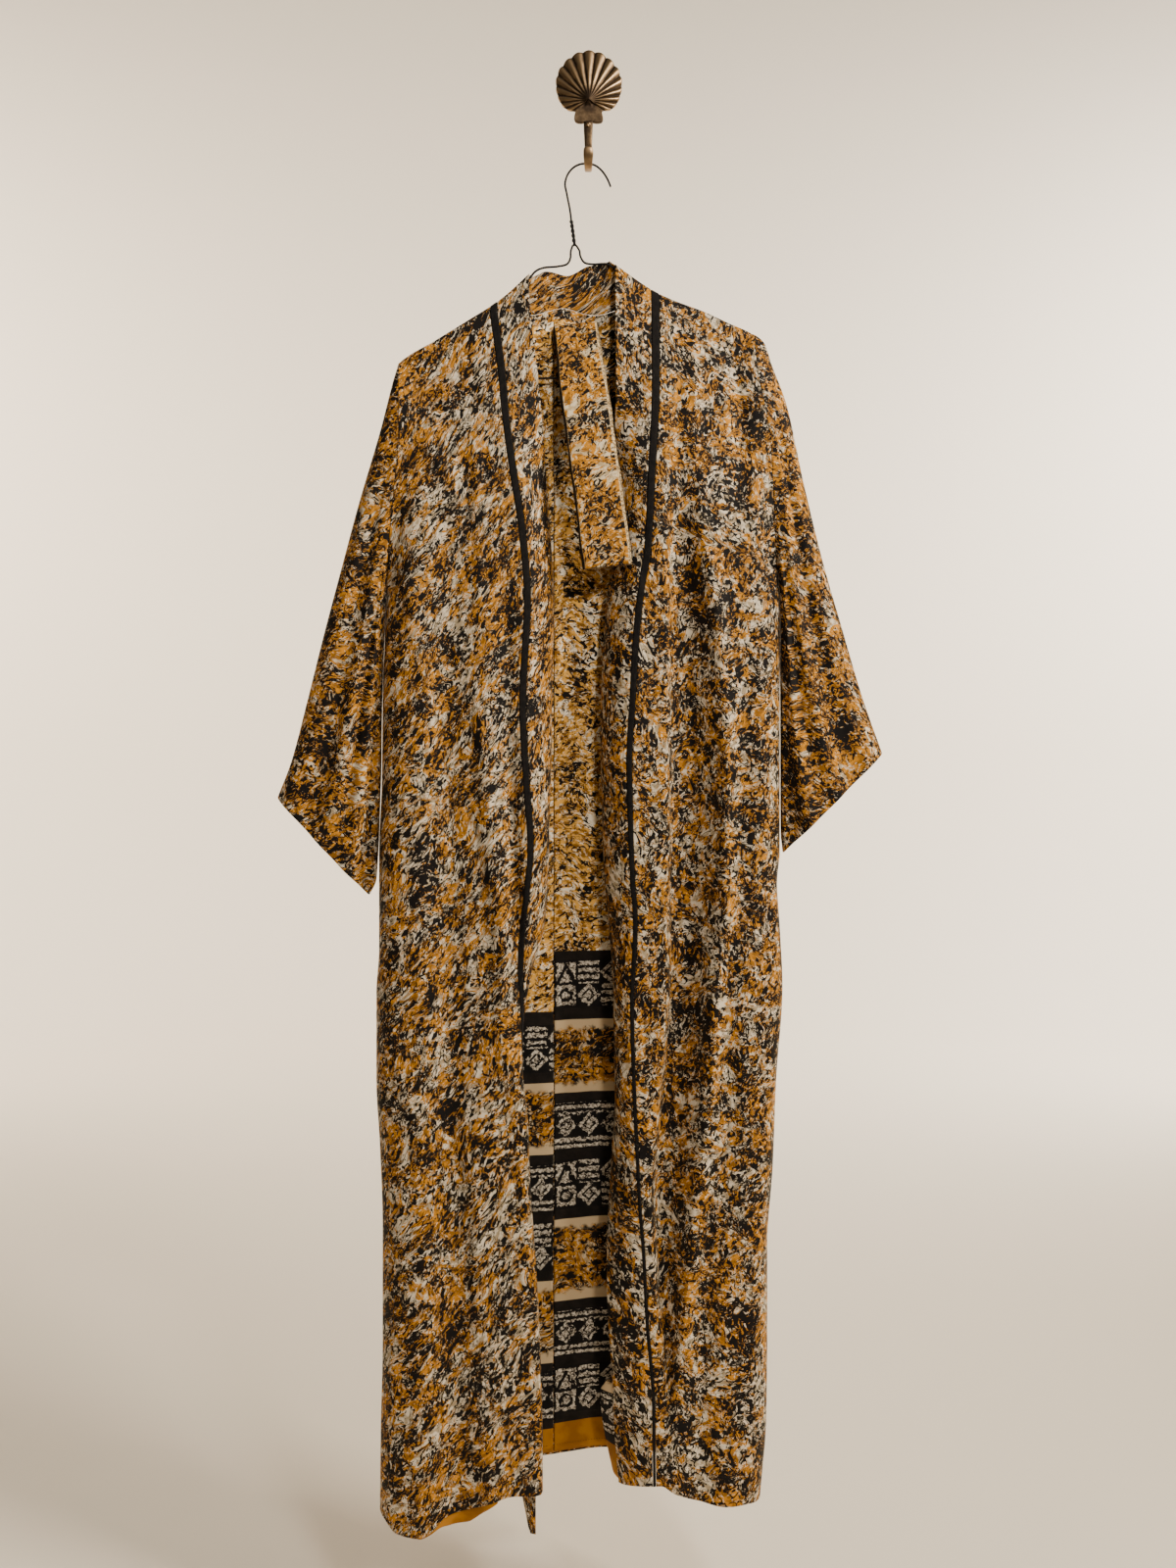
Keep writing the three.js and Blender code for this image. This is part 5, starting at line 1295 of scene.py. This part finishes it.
def sash_rings():
    """Sections square to the sash's line: six layers whose long edges stand at uneven widths, each
    edge a half round, wandering by half a millimetre along the length."""
    x, y, z, half = (curve(SASH_ROWS, i) for i in (1, 2, 3, 4))
    t = np.unique([0, 0.004, 0.012, *np.linspace(0.02, 0.98, 90), 0.988, 0.996, 1])
    run = unit(np.stack([f(t + 0.01) - f(t - 0.01) for f in (x, y, z)], -1))
    wide = unit(np.cross(run, np.array([0.0, -1.0, 0.0])))
    wide = wide * np.sign(wide[:, :1])
    thick = unit(np.cross(wide, run))
    thick = thick * np.sign(thick[:, 1:2])
    middle = np.stack([x(t), y(t), z(t)], -1)
    pull = 1 - 0.28 * (1 - round_off(np.minimum(t, 1 - t) / 0.012))
    profile, edge = [], []
    bend = np.linspace(-math.pi / 2, math.pi / 2, 5)
    for side in (1, -1):
        order = range(6) if side > 0 else range(5, -1, -1)
        for i in order:
            step = SASH_LAYERS[i] if side > 0 else -SASH_LAYERS[i] * 0.6
            wander = 0.35 * np.sin(t * 21 + 1.7 * i + side) + 0.2 * np.sin(t * 47 + 2.9 * i)
            for a in bend:
                out = side * half(t) + (step + wander) * pull + side * 0.45 * (math.cos(a) - 1)
                deep = (i - 2.5 + side * SASH_HALF * math.sin(a)) * SASH_LAYER * pull
                profile.append(middle + wide * out[:, None] + thick * deep[:, None])
                # Even layers' edges take the pale edge cloth, odd layers' the dark one, which is painted
                # shade between the folded layers.
                edge.append(1 + i % 2)
        across = np.linspace(1, -1, 15)[1:-1] * side
        layer = 5 if side > 0 else 0
        for s in across:
            edge[-1] = 0
            bump = 0.25 * np.sin(t * 33 + 6 * s) + 0.3 * np.sin(t * 12 - 4 * s + layer)
            deep = (layer - 2.5 + side * SASH_HALF) * SASH_LAYER * pull
            deep = deep - side * np.maximum(0, bump + 0.2) * 0.5 * (1 - s * s)
            profile.append(middle + wide * (s * (half(t) - 1.2))[:, None] + thick * deep[:, None])
            edge.append(0)
    return np.stack(profile, 1), edge


rings, edge = sash_rings()
sash = loft("silk_sash", rings, [silk_sash, sash_edge, sash_shade], face_material=edge)
piece(sash, ["sash"])


# Stitches: a row of short thread lengths along a line on the cloth
def stitch_row(name, line, normal, pitch, material):
    """Each stitch is a six-sided bar 62% of the pitch long that dips at both ends, so that only its
    middle stands proud of the cloth. All stitches of a row are one piece."""
    length = lengths(line)
    count = int(length[-1] / pitch)
    middle = (np.arange(count) + 0.5) * pitch
    offsets = np.array([-0.31, -0.2, 0, 0.2, 0.31]) * pitch
    sizes = np.array([0.06, 0.2, 0.26, 0.2, 0.06])
    lift = np.array([-0.15, 0.08, 0.16, 0.08, -0.15])
    angle = np.arange(6) / 6 * 2 * math.pi
    at = middle[:, None] + offsets[None]
    centre = np.stack([np.interp(at, length, line[:, a]) for a in range(3)], -1)
    up = np.stack([np.interp(at, length, normal[:, a]) for a in range(3)], -1)
    ahead, behind = (
        np.stack([np.interp(at + step, length, line[:, a]) for a in range(3)], -1)
        for step in (0.3, -0.3)
    )
    run = unit(ahead - behind)
    up = unit(up - run * np.sum(up * run, -1, keepdims=True))
    aside = np.cross(run, up)
    ring = up[:, :, None] * np.cos(angle)[:, None] + aside[:, :, None] * np.sin(angle)[:, None]
    lifted = centre[:, :, None] + up[:, :, None] * lift[:, None, None]
    points = lifted + ring * sizes[:, None, None]
    s, j, i = np.meshgrid(np.arange(count), np.arange(4), np.arange(6), indexing="ij")
    s, j, i = s.ravel() * 30, j.ravel() * 6, i.ravel()
    k = (i + 1) % 6
    sides = np.stack([s + j + i, s + j + k, s + j + 6 + k, s + j + 6 + i], 1)
    ends = []
    for base, order in ((0, (5, 4, 3, 2, 1, 0)), (24, (0, 1, 2, 3, 4, 5))):
        start_of = np.arange(count)[:, None] * 30 + base
        for four in ((0, 1, 2, 3), (3, 4, 5, 0)):
            ends.append(start_of + np.array([order[f] for f in four])[None])
    faces = np.concatenate([sides] + ends)
    flat = np.zeros((len(faces), 4, 2))
    flat[..., 0] = (faces % 30) * 0.001
    flat[..., 1] = (faces // 30) * 0.004
    made = build(name, points.reshape(-1, 3), faces, [material], {"cloth": flat})
    return made


def surface_line(point, us, vs, turned, inset=0.0):
    """Points and outward normals of a surface along a line of parameters."""
    us, vs = np.broadcast_arrays(np.asarray(us, float), np.asarray(vs, float))
    here = point(us, vs)
    du = point(us + 2e-4, vs) - point(us - 2e-4, vs)
    dv = point(us, vs + 2e-4) - point(us, vs - 2e-4)
    normal = unit(np.cross(du, dv) * (-1 if turned else 1))
    return here - normal * inset, normal


def flat_front(opened):
    return lambda u, v: front_point(opened, u, lambda z: 0 * z, v)


HEM_STITCHES = 0.9745
for place, point, us, turned in (
    ("left", flat_front(OPEN_LEFT), np.linspace(0.03, 0.99, 160), True),
    ("right", flat_front(OPEN_RIGHT), np.linspace(0.03, 0.99, 160), False),
    ("back", back_body, np.linspace(0.03, 0.97, 240), False),
):
    line, normal = surface_line(point, us, HEM_STITCHES, turned)
    stitch_row("hem_stitches_" + place, line, normal, 3.2, stitch_thread)
for side, half, us in (
    ("left", LEFT, np.linspace(0.07, 0.98, 60)), ("right", RIGHT, np.linspace(0.01, 0.96, 90)),
):
    line, normal = surface_line(lambda u, v: lining_point(half, u, v), us, LINING_LOW + 8, True,
                                CLOTH + GAP + LINING_CLOTH)
    stitch_row("lining_hem_stitches_" + side, line, -normal, 3.0, gold_thread)


# Wire hanger
def wire_under(x, below):
    return (x, HANG_Y, float(shoulder(x)) - below)


HOOK_PATH = [
    (25, HANG_Y, -131), (21, HANG_Y, -122), (15, HANG_Y, -113.5), (8, HANG_Y, -108),
    (0, HANG_Y, -106), (-8, HANG_Y, -106.5), (-15, HANG_Y, -109.5), (-22, HANG_Y, -117),
    (-25.5, HANG_Y, -128), (-23.5, HANG_Y, -140), (-20, HANG_Y, -158), (-18.5, HANG_Y, -170),
]
SHOULDER_LEFT_PATH = [
    (-17.3, HANG_Y, -197.5), (-19.2, HANG_Y, -204), (-19.6, HANG_Y, -211), (-23, HANG_Y, -217.5),
    (-33, HANG_Y, -220.3), (-50, HANG_Y, -222), (-58, HANG_Y, -225.5), (-63.2, HANG_Y, -231),
    wire_under(-70, 5.8), wire_under(-90, 5.8), wire_under(-107, 5.4), wire_under(-131, 4.4),
    wire_under(-160, 4.4), wire_under(-190, 4.4), wire_under(-201, 5), (-206.4, HANG_Y, -334),
    (-207.8, HANG_Y, -343), (-205.6, HANG_Y, -349.4), (-202.6, HANG_Y, -351.2),
]
SHOULDER_RIGHT_PATH = [
    (-12.7, HANG_Y, -197.5), (-9.5, HANG_Y, -203), (-8.5, HANG_Y, -209), (-4, HANG_Y, -216),
    (6, HANG_Y, -218), (16, HANG_Y, -217.4), (23, HANG_Y, -218.2), wire_under(30, 5.8),
    wire_under(50, 5.4), wire_under(75, 5.2), wire_under(97, 4.4), wire_under(129, 4.4),
    wire_under(157, 4.4), wire_under(176, 4.6), (187, HANG_Y, -304.5), (192, HANG_Y, -312),
    (193, HANG_Y, -324), (191, HANG_Y, -331.6), (187.4, HANG_Y, -334.1),
]
BAR_PATH = [
    (-201.6, HANG_Y, -351.3), (-55, HANG_Y, -345), (21, HANG_Y, -341.5), (186.5, HANG_Y, -334.2),
]
for name, path, steps, stands_for in (
    ("wire_hook", HOOK_PATH, 110, "hanger_hook"),
    ("wire_shoulder_left", SHOULDER_LEFT_PATH, 200, "hanger_shoulder_left"),
    ("wire_shoulder_right", SHOULDER_RIGHT_PATH, 190, "hanger_shoulder_right"),
    ("wire_lower_bar", BAR_PATH, 90, "hanger_bar"),
):
    made = tube(name, smooth_path(path, steps), WIRE_RADIUS, 16, [hanger_wire])
    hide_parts(stands_for)

# The twist below the hook: two wires wound round each other for two and a half turns
TWIST_TOP = np.array([-18.5, HANG_Y, -170.3])
TWIST_LOW = np.array([-15.0, HANG_Y, -197.0])
t = np.linspace(0, 1, 120)
for i in (0, 1):
    swing = t * 2.5 * 2 * math.pi + i * math.pi
    line = lerp(TWIST_TOP, TWIST_LOW, t[:, None])
    line = line + 1.08 * np.stack([np.cos(swing), np.sin(swing), 0 * swing], -1)
    made = tube("wire_twist_" + "ab"[i], line, WIRE_RADIUS, 14, [hanger_wire])
    if i == 0:
        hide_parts("hanger_twist")

# Wall hook: a fluted shell plate with a lug, an arm bent up at its end, and a screw head
SHELL_FOCUS = (1.0, -19.0)
shell_radius = curve([
    (-145, 18.5), (-123, 27.5), (-90, 23), (-57, 27.5), (-35, 18.5), (-18, 27), (16, 38.5),
    (50, 51), (90, 59), (130, 51), (164, 38.5), (198, 27), (215, 18.5),
])
FLUTES = 17
FLUTE_FROM, FLUTE_TO = -30.0, 210.0


def shell_surface():
    """Polar grid about the shell's foot: 17 rounded ribs fan out between -30 and 210 degrees, rise
    with the radius and end in a scalloped rim, and the lug below is plain. Depth is a dome that
    falls to the rim. Also returns the wear: 1 on the ribs' crests and the rim."""
    angle = np.concatenate([
        np.linspace(FLUTE_FROM, FLUTE_TO, 12 * FLUTES + 1), np.linspace(212, 328, 40),
    ])
    share = np.array([
        0.1, 0.16, 0.24, 0.34, 0.44, 0.54, 0.64, 0.74, 0.83, 0.9, 0.94, 0.97, 0.985, 0.994, 1,
    ])
    a, r = np.meshgrid(angle, share)
    fan = a <= FLUTE_TO
    bearing = np.where(a > 215, a - 360, a)
    phase = (a - FLUTE_FROM) / (FLUTE_TO - FLUTE_FROM) * FLUTES
    crest = np.where(fan, np.abs(np.sin(math.pi * phase)) ** 0.8, 0)
    rim = smooth((r - 0.86) / 0.14)
    radius = shell_radius(bearing) * r * np.where(fan, 1 - 0.035 * (1 - crest) * rim, 1)
    rib = np.where(fan, (2.2 * crest - 1.2) * smooth(r * 1.6), 0)
    dome = np.where(fan, 5.4 * (1 - 0.5 * r * r), 3.4)
    edge = round_off((1 - r) / 0.03)
    y = -(1.2 + (dome + rib - 1.2 + np.where(r < 0.2, 2.2 * (0.2 - r) / 0.1, 0)) * edge)
    rad = np.radians(a)
    x, z = SHELL_FOCUS[0] + radius * np.cos(rad), SHELL_FOCUS[1] + radius * np.sin(rad)
    points = np.stack([x, y, z], -1)
    wear = np.clip(0.15 + 0.85 * np.where(fan, crest ** 2, 0.25) * smooth(r * 1.4), 0, 1)
    return points, wear


points, wear = shell_surface()
count, n = points.shape[:2]
focus = np.array([SHELL_FOCUS[0], -8.6, SHELL_FOCUS[1]])
front_cap = np.broadcast_to(focus, (n, 3)) + (points[0] - focus) * 1e-3
rear_rim = points[-1] * np.array([1, 0, 1])
rear_cap = np.array([SHELL_FOCUS[0], 0, SHELL_FOCUS[1]]) + (rear_rim - np.array(
    [SHELL_FOCUS[0], 0, SHELL_FOCUS[1]])) * 1e-3
plate_rings = np.concatenate([front_cap[None], points, rear_rim[None], rear_cap[None]])
faces = grid_faces(n, len(plate_rings))[0]
plate = build("brass_shell_plate", plate_rings.reshape(-1, 3), faces, [hook_brass], {
    "cloth": np.zeros((len(faces), 4, 2))})
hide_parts("wall_hook_plate")
plate_wear = np.concatenate([wear[:1], wear, wear[-1:], wear[-1:] * 0]).ravel()


def set_wear(made, values):
    """Stores how rubbed each point is, for the brass."""
    layer = made.data.attributes.new("wear", "FLOAT", "POINT")
    layer.data.foreach_set("value", np.ascontiguousarray(values, np.float32))


set_wear(plate, plate_wear)

# Arm: along, y, z, width
ARM_ROWS = [
    (0, -3.6, -42.8, 10.6), (0.1, -3.8, -50, 10.2), (0.25, -4.6, -65, 9), (0.4, -8.5, -84, 7.6),
    (0.52, -17.5, -99.5, 8), (0.64, -28, -108.3, 8.4), (0.76, -38, -110.2, 8.8),
    (0.86, -46.5, -107.4, 9.6), (0.94, -51, -101, 11), (1, -52.6, -93.5, 9.6),
]
ARM_THICK = 5.0


def arm_rings():
    """Rounded oblong sections, square to the arm's line, that close in at its tip."""
    y, z, wide = (curve(ARM_ROWS, i) for i in (1, 2, 3))
    t = np.unique(np.concatenate([np.linspace(0, 1, 64), [0.985, 0.993, 0.998]]))
    run = unit(np.stack([0 * t, y(t + 0.01) - y(t - 0.01), z(t + 0.01) - z(t - 0.01)], -1))
    out = np.stack([0 * t, run[:, 2], -run[:, 1]], -1)
    middle = np.stack([0 * t + 0.3, y(t), z(t)], -1)
    close = 0.55 + 0.45 * round_off((1 - t) / 0.03)
    angle = (np.arange(28) + 0.5) / 28 * 2 * math.pi
    c, s = np.cos(angle), np.sin(angle)
    px = np.sign(c) * np.abs(c) ** 0.6
    py = np.sign(s) * np.abs(s) ** 0.6
    aside = np.array([1.0, 0, 0]) * (wide(t) / 2 * close)[:, None]
    deep = out * (ARM_THICK / 2 * close)[:, None]
    return middle[:, None] + aside[:, None] * px[None, :, None] + deep[:, None] * py[None, :, None]


rings = arm_rings()
arm = loft("brass_hook_arm", rings, [hook_brass])
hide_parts("wall_hook_arm")
arm_wear = np.linspace(0.2, 0.75, len(rings) + 2)[:, None] + np.zeros((1, rings.shape[1]))
set_wear(arm, arm_wear.ravel())

# Screw head: a low dome of rings, y and radius, with a slot pressed across it
angle = np.arange(40) / 40 * 2 * math.pi
rings = []
for y, radius in (
    (-6.6, 2.9), (-7.1, 2.9), (-7.5, 2.75), (-7.9, 2.45), (-8.2, 2.0), (-8.4, 1.5), (-8.5, 0.9),
):
    x, z = radius * np.cos(angle), radius * np.sin(angle)
    slot_depth = 0.55 * bell(x * math.cos(0.5) + z * math.sin(0.5), 0.38) * (y < -7.3)
    rings.append(np.stack([0.3 + x, y + slot_depth, -47 + z], -1))
screw = loft("brass_screw_head", rings, [hook_brass])
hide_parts("wall_hook_screw")
set_wear(screw, np.full(len(screw.data.vertices), 0.5))

# Floor and the pale room: a floor that sweeps up into a round wall, open at the top
FLOOR_Z = -1.75
FLOOR_RADIUS = 3.6
SWEEP = 1.1
ROOM_TOP = 3.0
around = np.arange(96) / 96 * 2 * math.pi
sweep = np.linspace(0, math.pi / 2, 24)
profile = np.concatenate([
    [(0.0002, FLOOR_Z), (1.5, FLOOR_Z)],
    np.stack([FLOOR_RADIUS + SWEEP * np.sin(sweep), FLOOR_Z + SWEEP * (1 - np.cos(sweep))], 1),
    [(FLOOR_RADIUS + SWEEP, ROOM_TOP)],
])
room_points = np.stack([
    profile[:, :1] * np.cos(around), profile[:, :1] * np.sin(around),
    profile[:, 1:] + 0 * around,
], -1).reshape(-1, 3)
room_faces = grid_faces(96, len(profile))[0]
room_mesh = bpy.data.meshes.new("studio_floor")
room_mesh.from_pydata(room_points.tolist(), [], room_faces.tolist())
room_mesh.polygons.foreach_set("use_smooth", np.ones(len(room_faces), bool))
floor = bpy.data.objects.new("studio_floor", room_mesh)
bpy.context.scene.collection.objects.link(floor)
floor_material, tree, shader = new_material("pale_matte_floor", Roughness=0.95, Specular_IOR_Level=0.1)
place = node(tree, "SeparateXYZ", {0: node(tree, "TexCoord").outputs["Object"]})
tree.links.new(blend(
    tree, step_up(tree, place.outputs[1], -3.2, 0.4), colour("#6b6762"), colour("#efe7d9"),
), shader.inputs["Base Color"])
room_mesh.materials.append(floor_material)

world = bpy.data.worlds.new("pale_room")
world.use_nodes = True
background = world.node_tree.nodes["Background"]
background.inputs["Color"].default_value = colour("#f2eadd")
background.inputs["Strength"].default_value = 0.2
bpy.context.scene.world = world


def area_light(name, place, aim, size, power, tint):
    data = bpy.data.lights.new(name, "AREA")
    data.shape = "RECTANGLE"
    data.size, data.size_y = size
    data.energy = power
    data.color = colour(tint)[:3]
    light = bpy.data.objects.new(name, data)
    bpy.context.scene.collection.objects.link(light)
    light.location = place
    toward = np.array(aim) - np.array(place)
    yaw = math.atan2(toward[0], toward[1])
    pitch = math.atan2(toward[2], math.hypot(toward[0], toward[1]))
    light.rotation_euler = (math.pi / 2 + pitch, 0, -yaw)


# Lights: name, place, aim, size, power in watts, colour
for light in (
    ("window_right", (2.0, -1.15, 0.85), (0, 0, -0.3), (0.6, 0.9), 104, "#fff2de"),
    ("soft_front", (0.75, -1.8, 0.4), (0, 0, -0.35), (0.3, 0.3), 30, "#fff6ea"),
    ("backdrop_left", (-2.6, 2.4, 0.6), (-0.6, 4.7, 0.2), (1.0, 2.6), 118, "#ffefdc"),
    ("backdrop_right", (2.6, 2.4, 0.5), (0.6, 4.7, 0.0), (1.0, 2.6), 185, "#fff8f0"),
):
    area_light(*light)

# Camera at the photograph's place: level, at mid height, 1.5 m from the hanger's plane
camera_data = bpy.data.cameras.new("camera")
camera_data.sensor_width = 36
camera_data.lens = 30.96
camera = bpy.data.objects.new("camera", camera_data)
bpy.context.scene.collection.objects.link(camera)
camera.location = (0, -1.538, -0.796)
camera.rotation_euler = (math.pi / 2, 0, 0)
bpy.context.scene.camera = camera
